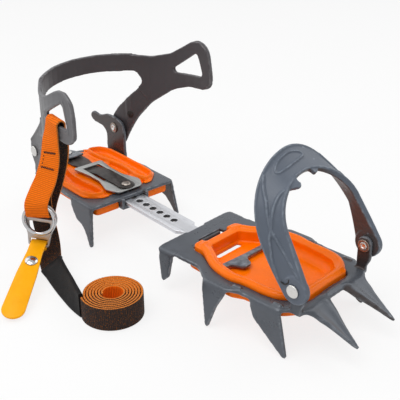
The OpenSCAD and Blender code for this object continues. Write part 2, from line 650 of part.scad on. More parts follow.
function at(q) = [q.x, q.y, q.z];
function band_rings(route, w, t) = let (m = len(route)) [for (i = [0:m - 1])
    let (a = at(route[max(0, i - 1)]), b = at(route[min(m - 1, i + 1)]), d = unit(b - a),
         v = width_dir(route[i]), u = unit(v - d * (v * d)) * w / 2, n = cross(d, unit(u)) * t / 2,
         p = at(route[i]))
    [p - u - n, p + u - n, p + u + n, p - u + n]];
module strap_front() {
    color(orange) loft(band_rings(front_route, strap_w, strap_t));
}
module strap_tail() {
    color(black) loft(band_rings(tail_route, strap_w, strap_t));
}
module strap_sleeve() {
    color(black) loft(band_rings(sleeve_route, strap_w + 2, strap_t + 1.6));
}

// Rolled tail: one unbroken spiral band standing on its edge
roll_mid = [89, -84.5];
roll_start = 248;
roll_out = 22;
loop_points = 24;
function roll_r(a) = roll_out - roll_pitch * a / 360;
function roll_point(a, side) =
    roll_mid + (roll_r(a) + side * strap_t / 2) * [cos(roll_start + a), sin(roll_start + a)];
roll_angles = [for (i = [0:roll_turns * loop_points]) i * 360 / loop_points];
roll_gap = min([for (i = [0:(roll_turns - 1) * loop_points - 2], j = [loop_points - 2:loop_points + 2])
    norm(roll_point(roll_angles[i], -1) - roll_point(roll_angles[i + j], 1))]);
echo(least_gap_between_turns = roll_gap);
roll_length = PI / 180 * (roll_out + roll_r(360 * roll_turns)) / 2 * 360 * roll_turns;
echo(rolled_length = roll_length);
module strap_roll() {
    color(black) sheet(0, strap_w, concat([for (a = roll_angles) roll_point(a, 1)],
        [for (i = [len(roll_angles) - 1:-1:0]) roll_point(roll_angles[i], -1)]));
}

// Buckle: a slotted plate and a loose ring in the strap's fold, with a pull tab on the plate's lower bar
buckle_head = 13;
buckle_low = 18.5;
tab_bar = 2.6;
module buckle_space() {
    translate([buckle_at.x, buckle_at.y, 0]) rotate([0, 0, buckle_turn]) children();
}
// The plate hangs with its lower end swung to one side
module plate_space() {
    buckle_space() translate([0, 0, ring_z]) rotate([0, buckle_roll, 0])
        translate([0, 0, -ring_z]) children();
}
module buckle_plate() {
    stem = 8;
    slot = strap_w / 2 + 1;
    outline = concat(
        [for (a = [-28:12:208]) [buckle_head * cos(a), ring_z + buckle_head * sin(a)]],
        [[-stem - 1, 29], [-stem, buckle_low + 1.5], [-stem + 1.5, buckle_low],
         [stem - 1.5, buckle_low], [stem, buckle_low + 1.5], [stem + 1, 29]]);
    strap_slot = [[-slot, 43.2, 1], [slot, 43.2, 1], [slot - 0.6, 50.6, 2], [-slot + 0.6, 50.6, 2]];
    window = [[-8.5, 40.4, 1.5], [-7.5, 33, 5], [0, 29.4, 5], [7.5, 33, 5], [8.5, 40.4, 1.5]];
    tab_slot = [[-6.6, buckle_low + tab_bar, 0.8], [6.6, buckle_low + tab_bar, 0.8],
        [6.6, 25.4, 1], [-6.6, 25.4, 1]];
    color(silver) plate_space() difference() {
        side_plate(0.4, buckle_t, outline);
        for (cut = [strap_slot, window, tab_slot]) side_plate(-1, buckle_t + 4, rounded(cut));
    }
}
module buckle_ring() {
    color(silver) buckle_space() translate([0, -0.4 - wire_d / 2, ring_z]) rotate([90, 0, 0])
        rotate_extrude($fn = 64) translate([ring_in / 2 + wire_d / 2, 0]) circle(d = wire_d, $fn = 24);
}
tab_eye = [-0.4 - buckle_t / 2, buckle_low + tab_bar / 2];
eye_in = 2.1;
tab_slope = asin((tab_eye.y + eye_in - 1.6) / tab_len);
rivet_along = 21;
// Side view of the tab as [distance out, height], turned down to the floor about its eye
module tab_space() {
    plate_space() translate([0, -tab_eye.x, tab_eye.y]) rotate([tab_slope, 0, 0]) children();
}
module pull_tab() {
    neck = 6;
    plan = concat([[-neck, 6], [-neck, -12], [-tab_w / 2 + 0.8, -34]],
        [for (a = [180:15:360]) [tab_w / 2 * cos(a), -tab_len + tab_w / 2 + tab_w / 2 * sin(a)]],
        [[tab_w / 2 - 0.8, -34], [neck, -12], [neck, 6]]);
    color(amber) tab_space() difference() {
        union() {
            rotate([0, 90, 0]) translate([0, 0, -neck]) cylinder(h = 2 * neck, r = eye_in + tab_t);
            intersection() {
                sheet(-20, 40, plan);
                translate([-20, -tab_len, eye_in]) cube([40, tab_len, tab_t]);
            }
        }
        rotate([0, 90, 0]) translate([0, 0, -20]) cylinder(h = 40, r = eye_in);
        translate([0, -rivet_along, -20]) cylinder(h = 40, d = 4.1);
    }
}
module tab_rivet() {
    color(silver) tab_space() translate([0, -rivet_along, 0]) {
        translate([0, 0, eye_in - 0.3]) cylinder(h = tab_t + 0.3 + eps, d = 4);
        translate([0, 0, eye_in + tab_t]) cylinder(h = 0.7, d = 9.6);
        translate([0, 0, eye_in + tab_t + 0.7]) cylinder(h = 0.8, d1 = 9.6, d2 = 6);
    }
}

placed() heel_frame();
placed() heel_antiball_plate();
placed() heel_rivets();
placed() heel_washers();
placed() heel_cradle();
placed() spring_clamp();
placed() clamp_rivet();
placed() leaf_spring();
placed() lock_lever();
placed() lock_pin();
placed() adjust_bar();
placed() front_frame();
placed() front_antiball_plate();
placed() front_cross_strip();
placed() toe_rivets();
placed() toe_washers();
placed() toe_cage();
placed() strap_front();
placed() strap_tail();
placed() strap_sleeve();
placed() strap_roll();
placed() buckle_plate();
placed() buckle_ring();
placed() pull_tab();
placed() tab_rivet();
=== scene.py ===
"""Strap crampon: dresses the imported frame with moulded, stamped and woven pieces on a pale studio floor."""

import math

import bmesh
import bpy
from mathutils import Matrix, Vector
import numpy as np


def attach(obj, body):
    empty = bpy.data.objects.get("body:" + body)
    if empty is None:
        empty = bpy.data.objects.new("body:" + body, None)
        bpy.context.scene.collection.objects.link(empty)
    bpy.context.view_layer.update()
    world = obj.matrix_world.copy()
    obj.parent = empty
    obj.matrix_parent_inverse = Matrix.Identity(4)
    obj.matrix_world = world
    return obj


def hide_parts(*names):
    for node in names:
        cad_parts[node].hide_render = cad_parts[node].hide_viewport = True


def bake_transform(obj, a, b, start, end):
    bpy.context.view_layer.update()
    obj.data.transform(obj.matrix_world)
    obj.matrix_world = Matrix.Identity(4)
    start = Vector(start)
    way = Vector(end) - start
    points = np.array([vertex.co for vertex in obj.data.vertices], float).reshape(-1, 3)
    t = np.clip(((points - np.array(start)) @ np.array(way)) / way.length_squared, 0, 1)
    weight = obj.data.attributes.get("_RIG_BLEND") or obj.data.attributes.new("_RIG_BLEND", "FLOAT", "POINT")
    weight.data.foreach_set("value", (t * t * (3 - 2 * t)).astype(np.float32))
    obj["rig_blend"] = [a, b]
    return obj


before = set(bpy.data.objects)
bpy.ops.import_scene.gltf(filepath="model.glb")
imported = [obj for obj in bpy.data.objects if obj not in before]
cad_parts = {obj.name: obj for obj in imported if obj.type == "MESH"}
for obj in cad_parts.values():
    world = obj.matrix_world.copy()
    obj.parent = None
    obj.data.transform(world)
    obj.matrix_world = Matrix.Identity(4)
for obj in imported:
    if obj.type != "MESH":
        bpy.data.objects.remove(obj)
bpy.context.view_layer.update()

bl_info = {
    "name": "Strap Crampon",
    "version": (1, 0, 0),
    "blender": (4, 5, 0),
    "location": "View3D > Sidebar > Crampon",
    "description": "Builds the visible pieces of a strap crampon over its packed frame",
    "category": "Object",
}

MM = 0.001
SIDES = (-1.0, 1.0)
# Place of the heel frame's front edge along the object, which the bar's coordinates start from
HEEL_X = -62.8646
FRAME_GAP = 78.0
FRONT_YAW = 6.0
# Pivots of the cradle and the cage as (x, z), the outer face of the toe ears and the top of both plates
HEEL_PIVOT = (-78.0, 59.5)
TOE_PIVOT = (127.0, 52.5)
TOE_EAR_OUT = 38.3
PLATE_Z = 34.0
# Buckle: its place and turn seen from above, the height of its ring and the sideways roll of its plate
BUCKLE_AT = (4.0, -89.5)
BUCKLE_TURN = 44.5
RING_Z = 43.2
PLATE_ROLL = 8.0
# Pull tab: its eye behind and above the plate's foot, how far it drops and its length
TAB_EYE = (1.4, 19.8)
TAB_DROP = 20.3
TAB_LENGTH = 76.0


# Places
def rotation(degrees, axis):
    """A turn about an axis through the origin."""
    return Matrix.Rotation(math.radians(degrees), 4, axis)


def placing(x_axis, y_axis, z_axis, at):
    """A placing matrix from its three axes and its origin."""
    m = Matrix((x_axis, y_axis, z_axis)).transposed().to_4x4()
    m.translation = at
    return m


def bar_space():
    """From millimetres measured at the heel frame's front edge to the row frame."""
    return Matrix.Scale(MM, 4) @ Matrix.Translation((HEEL_X, 0.0, 0.0))


def front_space():
    """From millimetres measured at the front frame's rear edge to the row frame."""
    return bar_space() @ Matrix.Translation((FRAME_GAP, 0.0, 0.0)) @ rotation(FRONT_YAW, "Z")


def buckle_space():
    """From millimetres in the buckle's upright plane to the row frame."""
    return bar_space() @ Matrix.Translation((*BUCKLE_AT, 0.0)) @ rotation(BUCKLE_TURN, "Z")


def tab_space():
    """From millimetres on the pull tab, which slopes down from its eye to the floor."""
    ring = Matrix.Translation((0.0, 0.0, RING_Z))
    roll = ring @ rotation(PLATE_ROLL, "Y") @ ring.inverted()
    slope = Matrix.Rotation(math.asin(TAB_DROP / TAB_LENGTH), 4, "X")
    return buckle_space() @ roll @ Matrix.Translation((0.0, *TAB_EYE)) @ slope


def along_y(x, z, y, out):
    """A place for a turned piece whose axis points out along Y."""
    return Matrix.Translation((x, y, z)) @ rotation(-90.0 if out > 0 else 90.0, "X")


# Mesh helpers
def cad_bmesh(node):
    """A merged copy of a CAD node's mesh."""
    bm = bmesh.new()
    bm.from_mesh(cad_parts[node].data)
    bmesh.ops.remove_doubles(bm, verts=bm.verts, dist=2e-6)
    return bm


def linked_verts(seeds):
    """Every vertex joined to the seeds by edges."""
    seen = set(seeds)
    stack = list(seeds)
    while stack:
        for edge in stack.pop().link_edges:
            for vert in edge.verts:
                if vert not in seen:
                    seen.add(vert)
                    stack.append(vert)
    return list(seen)


def face_outwards(bm, verts):
    """Points the faces round the vertices outwards."""
    bmesh.ops.recalc_face_normals(bm, faces=list({f for v in verts for f in v.link_faces}))


def cut(bm, at, normal, clear_outer=False):
    """Cuts a bmesh along a plane."""
    bmesh.ops.bisect_plane(bm, geom=bm.verts[:] + bm.edges[:] + bm.faces[:], plane_co=at, plane_no=normal,
                           clear_outer=clear_outer)


def ease_edges(bm, width):
    """Dissolves flat triangles, then bevels every edge sharper than 28 degrees."""
    bmesh.ops.dissolve_limit(bm, angle_limit=math.radians(0.5), verts=bm.verts, edges=bm.edges)
    least = math.radians(28.0)
    sharp = [e for e in bm.edges if len(e.link_faces) == 2 and e.calc_face_angle(0.0) > least]
    bmesh.ops.bevel(bm, geom=sharp, offset=width * MM, offset_type="OFFSET", affect="EDGES",
                    segments=2, profile=0.5, material=-1, clamp_overlap=False)


def sweep(bm, section, stations, along=None, face=1.0):
    """Extrudes a closed section through a list of placing matrices and caps both ends."""
    layers = bm.verts.layers.float
    across, side, length = (layers.get(name) or layers.new(name) for name in ("across", "side", "along"))
    ring = [bm.verts.new(stations[0] @ Vector((u, v, 0.0))) for u, v in section]
    top = max(abs(v) for u, v in section)
    wide = max(abs(u) for u, v in section)
    for vert, (u, v) in zip(ring, section):
        vert[across] = u / wide
        vert[side] = face * v / top
        vert[length] = along[0] if along else 0.0
    edges = [bm.edges.new((ring[i - 1], ring[i])) for i in range(len(ring))]
    first = bmesh.ops.contextual_create(bm, geom=edges)["faces"]
    for i in range(1, len(stations)):
        grown = bmesh.ops.extrude_edge_only(bm, edges=edges)["geom"]
        fresh = [g for g in grown if isinstance(g, bmesh.types.BMVert)]
        edges = [g for g in grown if isinstance(g, bmesh.types.BMEdge) and all(v in fresh for v in g.verts)]
        bmesh.ops.transform(bm, matrix=stations[i] @ stations[i - 1].inverted(), verts=fresh)
        for vert in fresh:
            vert[length] = along[i] if along else 0.0
    bmesh.ops.contextual_create(bm, geom=edges)
    face_outwards(bm, linked_verts(first[0].verts))


def turned(bm, profile, place):
    """Spins a (radius, height) profile that is closed or ends on the axis, then puts it in place."""
    verts = [bm.verts.new((r, 0.0, z)) for r, z in profile]
    edges = [bm.edges.new(pair) for pair in zip(verts, verts[1:])]
    bmesh.ops.spin(bm, geom=verts + edges, cent=(0, 0, 0), axis=(0, 0, 1), angle=math.tau, steps=40,
                   use_merge=True)
    bmesh.ops.remove_doubles(bm, verts=linked_verts(verts), dist=1e-5)
    made = linked_verts([v for v in verts if v.is_valid])
    face_outwards(bm, made)
    bmesh.ops.transform(bm, matrix=place, verts=made)


def round_section(half_w, half_t, corner, n):
    """A rounded rectangle as (u, v) points, with more points along its wide sides."""
    points = []
    for cx, cy, start in ((1, 1, 0), (-1, 1, 90), (-1, -1, 180), (1, -1, 270)):
        for i in range(n + 1):
            a = math.radians(start + 90.0 * i / n)
            points.append((cx * (half_w - corner) + corner * math.cos(a),
                           cy * (half_t - corner) + corner * math.sin(a)))
    full = []
    for i, (u, v) in enumerate(points):
        full.append((u, v))
        ahead = points[(i + 1) % len(points)][0] - u
        if abs(ahead) > half_w * 0.6:
            full += [(u + ahead * k / 8, v) for k in range(1, 8)]
    return full


def smooth_path(points, per_span):
    """A curve through [x, y, z, ...] points, with every column eased the same way."""
    out = []
    n = len(points)
    for i in range(n - 1):
        p0, p1, p2, p3 = (points[max(0, min(n - 1, k))] for k in (i - 1, i, i + 1, i + 2))
        for s in range(per_span):
            t = s / per_span
            out.append([0.5 * (2 * b + (c - a) * t + (2 * a - 5 * b + 4 * c - d) * t * t
                               + (3 * b - a - 3 * c + d) * t ** 3) for a, b, c, d in zip(p0, p1, p2, p3)])
    out.append(list(points[-1]))
    return out


def closed_path(points, per_span=3):
    """A smooth closed outline through points."""
    wrapped = list(points[-1:]) + list(points) + list(points[:2])
    return smooth_path(wrapped, per_span)[per_span:per_span * (len(points) + 1)]


def mirrored_path(points):
    """Points given on one side of the middle line, followed by their mirror images."""
    return list(points) + [(x, -y, z) for x, y, z in reversed(points)]


def heading(path, i):
    """Direction of a path at one of its points."""
    return (path[min(i + 1, len(path) - 1)] - path[max(i - 1, 0)]).normalized()


CIRCLE = [(math.cos(math.tau * i / 10), math.sin(math.tau * i / 10)) for i in range(10)]


def bead(bm, points, radius, space, ease=5):
    """A round bead along points, thinner at both ends, as a closed shell of its own."""
    path = [Vector(p) for p in (smooth_path(points, ease) if ease else points)]
    stations = []
    for i, p in enumerate(path):
        d = heading(path, i)
        u = d.cross(Vector((0.12, 0.2, 1.0))).normalized()
        r = radius * (0.55 if i in (0, len(path) - 1) else 1.0)
        stations.append(space @ placing(u * r, u.cross(d) * r, d, p))
    sweep(bm, CIRCLE, stations)


def tray(bm, outline, height, place, steps=()):
    """A closed block from a flat outline, whose top is inset and then raised or sunk step by step."""
    base = bm.faces.new([bm.verts.new((x, y, 0.0)) for x, y in outline])
    grown = bmesh.ops.extrude_face_region(bm, geom=[base])["geom"]
    top = [g for g in grown if isinstance(g, bmesh.types.BMFace)]
    bmesh.ops.translate(bm, verts=top[0].verts[:], vec=(0.0, 0.0, height))
    for inset, rise in steps:
        bmesh.ops.inset_region(bm, faces=top, thickness=inset, use_even_offset=False)
        bmesh.ops.translate(bm, verts=top[0].verts[:], vec=(0.0, 0.0, rise))
    made = linked_verts(top[0].verts)
    face_outwards(bm, made)
    bmesh.ops.transform(bm, matrix=place, verts=made)


def shade(mesh, angle):
    """Smooth faces with sharp edges over an angle."""
    mesh.polygons.foreach_set("use_smooth", [True] * len(mesh.polygons))
    mesh.set_sharp_from_angle(angle=math.radians(angle))
    mesh.update()


def add_piece(bm, name, body, materials, nodes=(), angle=35.0):
    """Turns a bmesh into a smooth-shaded object that rides on a body and stands for CAD nodes."""
    mesh = bpy.data.meshes.new(name)
    bm.to_mesh(mesh)
    bm.free()
    obj = bpy.data.objects.new(name, mesh)
    bpy.context.scene.collection.objects.link(obj)
    for material in materials:
        mesh.materials.append(material)
    shade(mesh, angle)
    if body:
        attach(obj, body)
    if nodes:
        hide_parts(*nodes)
    return obj


def smooth_out(obj, passes, group=""):
    """Smooths an object, or a weighted group of its points, and keeps the shape that its modifiers give."""
    smooth = obj.modifiers.new("Round edges", "SMOOTH")
    smooth.factor = 0.5
    smooth.iterations = passes
    smooth.vertex_group = group
    deps = bpy.context.evaluated_depsgraph_get()
    mesh = bpy.data.meshes.new_from_object(obj.evaluated_get(deps))
    old = obj.data
    obj.modifiers.clear()
    mesh.name = old.name
    obj.data = mesh
    bpy.data.meshes.remove(old)


FOLD_REACH = 6.0 * MM
# Smoothing passes of each frame and of its folds, and voxel size and passes of each moulded piece
FRONT_PASSES = (22, 170)
HEEL_PASSES = (18, 130)
PAN_DETAIL = (0.53, 15)
HEEL_PLATE_DETAIL = (0.57, 10)
CAGE_DETAIL = (0.45, 4)
CRADLE_DETAIL = (0.56, 5)


def fold_weight(co, lines):
    """How near a point lies to straight fold lines: one on a line and nought beyond its reach."""
    best = 0.0
    for a, b in lines:
        span = b - a
        s = max(0.0, min(1.0, (co - a).dot(span) / span.length_squared))
        best = max(best, 1.0 - (co - (a + span * s)).length / FOLD_REACH)
    return best


def moulded(bm, name, body, material, node, slot, voxel, passes, folds=(), fold_passes=0):
    """Joins the closed shells of a bmesh into one solid with softly rounded edges and folds."""
    obj = add_piece(bm, name, None, [material])
    remesh = obj.modifiers.new("Join shells", "REMESH")
    remesh.mode = "VOXEL"
    remesh.voxel_size = voxel * MM
    smooth_out(obj, passes)
    if folds:
        group = obj.vertex_groups.new(name="folds")
        for vert in obj.data.vertices:
            weight = fold_weight(vert.co, folds)
            if weight > 0.0:
                group.add([vert.index], weight, "REPLACE")
        smooth_out(obj, fold_passes, "folds")
        obj.vertex_groups.clear()
    shade(obj.data, 60.0)
    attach(obj, body)
    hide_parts(node)


# Material helpers
def wire(tree, kind, *values, operation=None, **named):
    """A shader node whose inputs, by place or by name, are values or other nodes' sockets."""
    made = tree.nodes.new("ShaderNode" + kind)
    if operation:
        made.operation = operation
    for key, value in [*enumerate(values), *named.items()]:
        socket = made.inputs[key if isinstance(key, int) else key.replace("_", " ")]
        if isinstance(value, bpy.types.NodeSocket):
            tree.links.new(value, socket)
        else:
            socket.default_value = value
    return made


def maths(tree, operation, *values):
    """The result of one sum."""
    return wire(tree, "Math", *values, operation=operation).outputs["Value"]


def vectors(tree, operation, *values):
    """The result of one sum on vectors."""
    return wire(tree, "VectorMath", *values, operation=operation).outputs["Vector"]


def own_place(tree):
    """The piece's own coordinates."""
    return tree.nodes.new("ShaderNodeTexCoord").outputs["Object"]


def noise(tree, **named):
    """Noise on the piece's own coordinates."""
    return wire(tree, "TexNoise", Vector=own_place(tree), **named).outputs["Fac"]


def attribute(tree, name):
    """A value that the mesh carries."""
    node = tree.nodes.new("ShaderNodeAttribute")
    node.attribute_name = name
    return node.outputs["Fac"]


def ranged(tree, socket, low, high, out_low=0.0, out_high=1.0):
    """A value taken from one range to another."""
    node = wire(tree, "MapRange", Value=socket, From_Min=low, From_Max=high, To_Min=out_low, To_Max=out_high)
    return node.outputs["Result"]


def mix_colours(tree, factor, first, second):
    """A colour mix whose ends are colours or sockets."""
    mix = tree.nodes.new("ShaderNodeMix")
    mix.data_type = "RGBA"
    sockets = {socket.identifier: socket for socket in mix.inputs}
    for label, value in (("Factor_Float", factor), ("A_Color", first), ("B_Color", second)):
        if isinstance(value, bpy.types.NodeSocket):
            tree.links.new(value, sockets[label])
        else:
            sockets[label].default_value = value if label == "Factor_Float" else (*value[:3], 1.0)
    return [socket for socket in mix.outputs if socket.type == "RGBA"][0]


def bump(tree, shader, height, distance):
    """Feeds a height to the shader's normal."""
    node = wire(tree, "Bump", Strength=1.0, Distance=distance, Height=height)
    tree.links.new(node.outputs["Normal"], shader.inputs["Normal"])


def darker(colour, k):
    """A colour times a number."""
    return tuple(c * k for c in colour[:3])


def grain_effect(group, given):
    """Mottling in large patches and a fine moulded or blasted grain."""
    return {"Patches": noise(group, Scale=given["Patch Scale"], Detail=4.0, Roughness=0.6),
            "Grain": noise(group, Scale=given["Grain Scale"], Detail=2.0, Roughness=0.5)}


def wear_and_highlight_effect(group, given):
    """A mask of rubbed edges, broken up by noise, which also paints a highlight along rounded edges."""
    shape = group.nodes.new("ShaderNodeNewGeometry")
    edge = ranged(group, shape.outputs["Pointiness"], 0.508, 0.532)
    broken = ranged(group, noise(group, Scale=given["Break Scale"], Detail=3.0), 0.35, 0.7)
    return {"Mask": maths(group, "MULTIPLY", maths(group, "MULTIPLY", edge, broken), given["Amount"])}


def weave_effect(group, given):
    """Weft ribs and warp columns of flat webbing, from the strap's own along and across attributes; its Shade
    is rib height mixed with yarn noise, for shade painted into the hollows.
    """
    ribs = maths(group, "DIVIDE", attribute(group, "along"), given["Rib Pitch"])
    columns = maths(group, "MULTIPLY", attribute(group, "across"), given["Columns"])
    rib_wave, column_wave = (
        maths(group, "ABSOLUTE", maths(group, "SINE", maths(group, "MULTIPLY", count, math.pi)))
        for count in (ribs, columns))
    height = maths(group, "MULTIPLY", maths(group, "POWER", rib_wave, 0.6),
                   maths(group, "POWER", column_wave, 0.15))
    yarn = noise(group, Scale=1500.0, Detail=2.0)
    shaded = maths(group, "ADD", maths(group, "MULTIPLY", height, 0.75), maths(group, "MULTIPLY", yarn, 0.25))
    return {"Height": height, "Shade": shaded, "Fleck": maths(group, "GREATER_THAN", yarn, 0.6)}


# Shared effects: each one's inputs and what makes it
EFFECTS = {
    "Surface grain": ({"Patch Scale": 60.0, "Grain Scale": 1800.0}, grain_effect),
    "Edge wear and highlight": ({"Amount": 0.5, "Break Scale": 250.0}, wear_and_highlight_effect),
    "Webbing weave": ({"Rib Pitch": 0.0014, "Columns": 14.0}, weave_effect),
}


def effect_group(name):
    """The node group of a shared effect."""
    inputs, make = EFFECTS[name]
    group = bpy.data.node_groups.new(name, "ShaderNodeTree")
    for label, default in inputs.items():
        socket = group.interface.new_socket(label, in_out="INPUT", socket_type="NodeSocketFloat")
        socket.default_value = default
    made = make(group, group.nodes.new("NodeGroupInput").outputs)
    for label in made:
        group.interface.new_socket(label, in_out="OUTPUT", socket_type="NodeSocketFloat")
    end = group.nodes.new("NodeGroupOutput")
    for label, value in made.items():
        group.links.new(value, end.inputs[label])
    return group


def effect(tree, name, **values):
    """The outputs of a shared effect, built the first time it is asked for, with its own values."""
    made = tree.nodes.new("ShaderNodeGroup")
    made.node_tree = bpy.data.node_groups.get(name) or effect_group(name)
    for key, value in values.items():
        made.inputs[key.replace("_", " ")].default_value = value
    return made.outputs


def painted_shade_mask(tree, middle, flatten):
    """Mask of painted shade: one on faces that look towards a middle point, with some axes left out, and
    nought elsewhere.
    """
    normal = tree.nodes.new("ShaderNodeNewGeometry").outputs["Normal"]
    kept = vectors(tree, "MULTIPLY", vectors(tree, "SUBTRACT", own_place(tree), middle), flatten)
    dot = wire(tree, "VectorMath", vectors(tree, "NORMALIZE", kept), normal, operation="DOT_PRODUCT")
    return ranged(tree, dot.outputs["Value"], -0.05, -0.3)


def made_once(maker):
    """Lets a material's maker hand out the material that it has made before."""
    def reuse(name, *values, **settings):
        return bpy.data.materials.get(name) or maker(name, *values, **settings)
    return reuse


def new_material(name, rough, metallic=0.0, specular=0.5):
    """A material with a Principled shader, ready for its nodes."""
    material = bpy.data.materials.new(name)
    material.use_nodes = True
    shader = material.node_tree.nodes["Principled BSDF"]
    for label, value in (("Roughness", rough), ("Metallic", metallic), ("Specular IOR Level", specular)):
        shader.inputs[label].default_value = value
    return material, material.node_tree, shader


@made_once
def coated_material(name, colour, worn, rough, patch=0.14, grain=0.00003, wear_and_highlight=0.5, metallic=0.0,
                    grain_scale=1800.0, specular=0.35, inner=None, middle=(0, 0, 0), flatten=(1, 1, 0)):
    """Paint, blackening or moulded plastic: mottled colour, fine grain, rubbed edges that also carry a
    painted highlight, and painted shade on faces turned inwards.
    """
    material, tree, shader = new_material(name, rough, metallic, specular)
    surface = effect(tree, "Surface grain", Grain_Scale=grain_scale)
    edge_wear_and_highlight = effect(tree, "Edge wear and highlight", Amount=wear_and_highlight)
    mottle = ranged(tree, surface["Patches"], 0.3, 0.7)
    ground = mix_colours(tree, mottle, darker(colour, 1.0 - patch), darker(colour, 1.0 + patch))
    # Painted shade: faces turned towards the middle take the darker inner colour
    if inner:
        painted_inner_shade = mix_colours(tree, mottle, darker(inner, 1.0 - patch), darker(inner, 1.0 + patch))
        ground = mix_colours(tree, painted_shade_mask(tree, middle, flatten), ground, painted_inner_shade)
    # Edges lighten: partly real rubbing, partly a painted highlight on rounded edges
    tree.links.new(mix_colours(tree, edge_wear_and_highlight["Mask"], ground, worn), shader.inputs["Base Color"])
    roughness = ranged(tree, surface["Patches"], 0.3, 0.7, rough - 0.06, rough + 0.06)
    tree.links.new(roughness, shader.inputs["Roughness"])
    bump(tree, shader, surface["Grain"], grain)
    return material


@made_once
def brushed_material(name, colour, rough, stretch=(12.0, 900.0, 900.0)):
    """Rolled or brushed steel with fine lines along the object."""
    material, tree, shader = new_material(name, rough, 1.0)
    mapping = wire(tree, "Mapping", Vector=own_place(tree), Scale=stretch)
    lines = wire(tree, "TexNoise", Vector=mapping.outputs["Vector"], Scale=3.0, Detail=4.0,
                 Roughness=0.6).outputs["Fac"]
    surface = effect(tree, "Surface grain", Patch_Scale=90.0)
    brushed = mix_colours(tree, ranged(tree, lines, 0.3, 0.7), darker(colour, 0.9), darker(colour, 1.06))
    tarnish = ranged(tree, surface["Patches"], 0.45, 0.75, 0.0, 0.35)
    tree.links.new(mix_colours(tree, tarnish, brushed, darker(colour, 0.75)), shader.inputs["Base Color"])
    tree.links.new(ranged(tree, lines, 0.3, 0.7, rough - 0.07, rough + 0.08), shader.inputs["Roughness"])
    bump(tree, shader, lines, 0.00002)
    return material


@made_once
def webbing_material(name, face, back, edge):
    """Flat woven webbing with one colour on its face, another on its back and a speckled edge, and shade
    painted into the hollows between its ribs.
    """
    material, tree, shader = new_material(name, 0.75, specular=0.12)
    weave = effect(tree, "Webbing weave")
    side = attribute(tree, "side")
    speckled = mix_colours(tree, weave["Fleck"], edge, darker(edge, 0.45))
    flecked = mix_colours(tree, weave["Fleck"], back, darker(edge, 0.2))
    rim = mix_colours(tree, ranged(tree, side, -0.75, -0.6), flecked, speckled)
    cloth = mix_colours(tree, ranged(tree, side, 0.6, 0.75), rim, face)
    # Painted shade: the cloth darkens half way to black in the hollows between ribs, with some random yarn
    # tone
    rib_hollow_shade = mix_colours(tree, 0.5, cloth, (0.0, 0.0, 0.0))
    tree.links.new(mix_colours(tree, ranged(tree, weave["Shade"], 0.15, 0.75), rib_hollow_shade, cloth),
                   shader.inputs["Base Color"])
    bump(tree, shader, weave["Height"], 0.0003)
    return material


# Settings that a user would change
class CramponSteel(bpy.types.PropertyGroup):
    """Colours and detail of the steel pieces."""

    coat: bpy.props.FloatVectorProperty(
        name="Frame Coat", description="Colour of the satin coat on both frames", subtype="COLOR", size=3,
        min=0.0, max=1.0, default=(0.086, 0.096, 0.113))
    # Rubbed edge colour, which also paints the highlight along the frames' rounded edges
    worn: bpy.props.FloatVectorProperty(
        name="Worn Edge and Highlight", description="Colour of the coat where its edges are rubbed", subtype="COLOR",
        size=3, min=0.0, max=1.0, default=(0.26, 0.28, 0.31))
    bar: bpy.props.FloatVectorProperty(
        name="Bar", description="Colour of the adjustment bar", subtype="COLOR", size=3, min=0.0, max=1.0,
        default=(0.735, 0.745, 0.78))
    voxel: bpy.props.FloatProperty(
        name="Detail", description="Size of the smallest rounding on the frames", subtype="DISTANCE",
        min=0.0003, max=0.002, default=0.0005)


class CramponPlastic(bpy.types.PropertyGroup):
    """Colours of the moulded pieces."""

    orange: bpy.props.FloatVectorProperty(
        name="Anti-ball Orange", description="Colour of both anti-ball plates", subtype="COLOR", size=3,
        min=0.0, max=1.0, default=(1.0, 0.175, 0.0))
    cage: bpy.props.FloatVectorProperty(
        name="Toe Cage", description="Colour of the toe cage", subtype="COLOR", size=3, min=0.0, max=1.0,
        default=(0.098, 0.117, 0.15))
    cradle: bpy.props.FloatVectorProperty(
        name="Heel Cradle", description="Colour of the heel cradle", subtype="COLOR", size=3, min=0.0,
        max=1.0, default=(0.118, 0.117, 0.124))
    amber: bpy.props.FloatVectorProperty(
        name="Pull Tab", description="Colour of the pull tab", subtype="COLOR", size=3, min=0.0, max=1.0,
        default=(0.97, 0.41, 0.002))


class CramponStrap(bpy.types.PropertyGroup):
    """Sizes and colours of the webbing."""

    width: bpy.props.FloatProperty(
        name="Width", description="Width of the webbing", subtype="DISTANCE", min=0.012, max=0.025,
        default=0.0176)
    thickness: bpy.props.FloatProperty(
        name="Thickness", description="Thickness of the webbing", subtype="DISTANCE", min=0.001, max=0.003,
        default=0.0016)
    orange: bpy.props.FloatVectorProperty(
        name="Face", description="Colour of the webbing's face", subtype="COLOR", size=3, min=0.0, max=1.0,
        default=(0.98, 0.19, 0.006))
    black: bpy.props.FloatVectorProperty(
        name="Back", description="Colour of the webbing's back", subtype="COLOR", size=3, min=0.0, max=1.0,
        default=(0.034, 0.025, 0.023))
    edge: bpy.props.FloatVectorProperty(
        name="Edge", description="Colour of the webbing's woven edge", subtype="COLOR", size=3, min=0.0,
        max=1.0, default=(1.0, 0.32, 0.06))


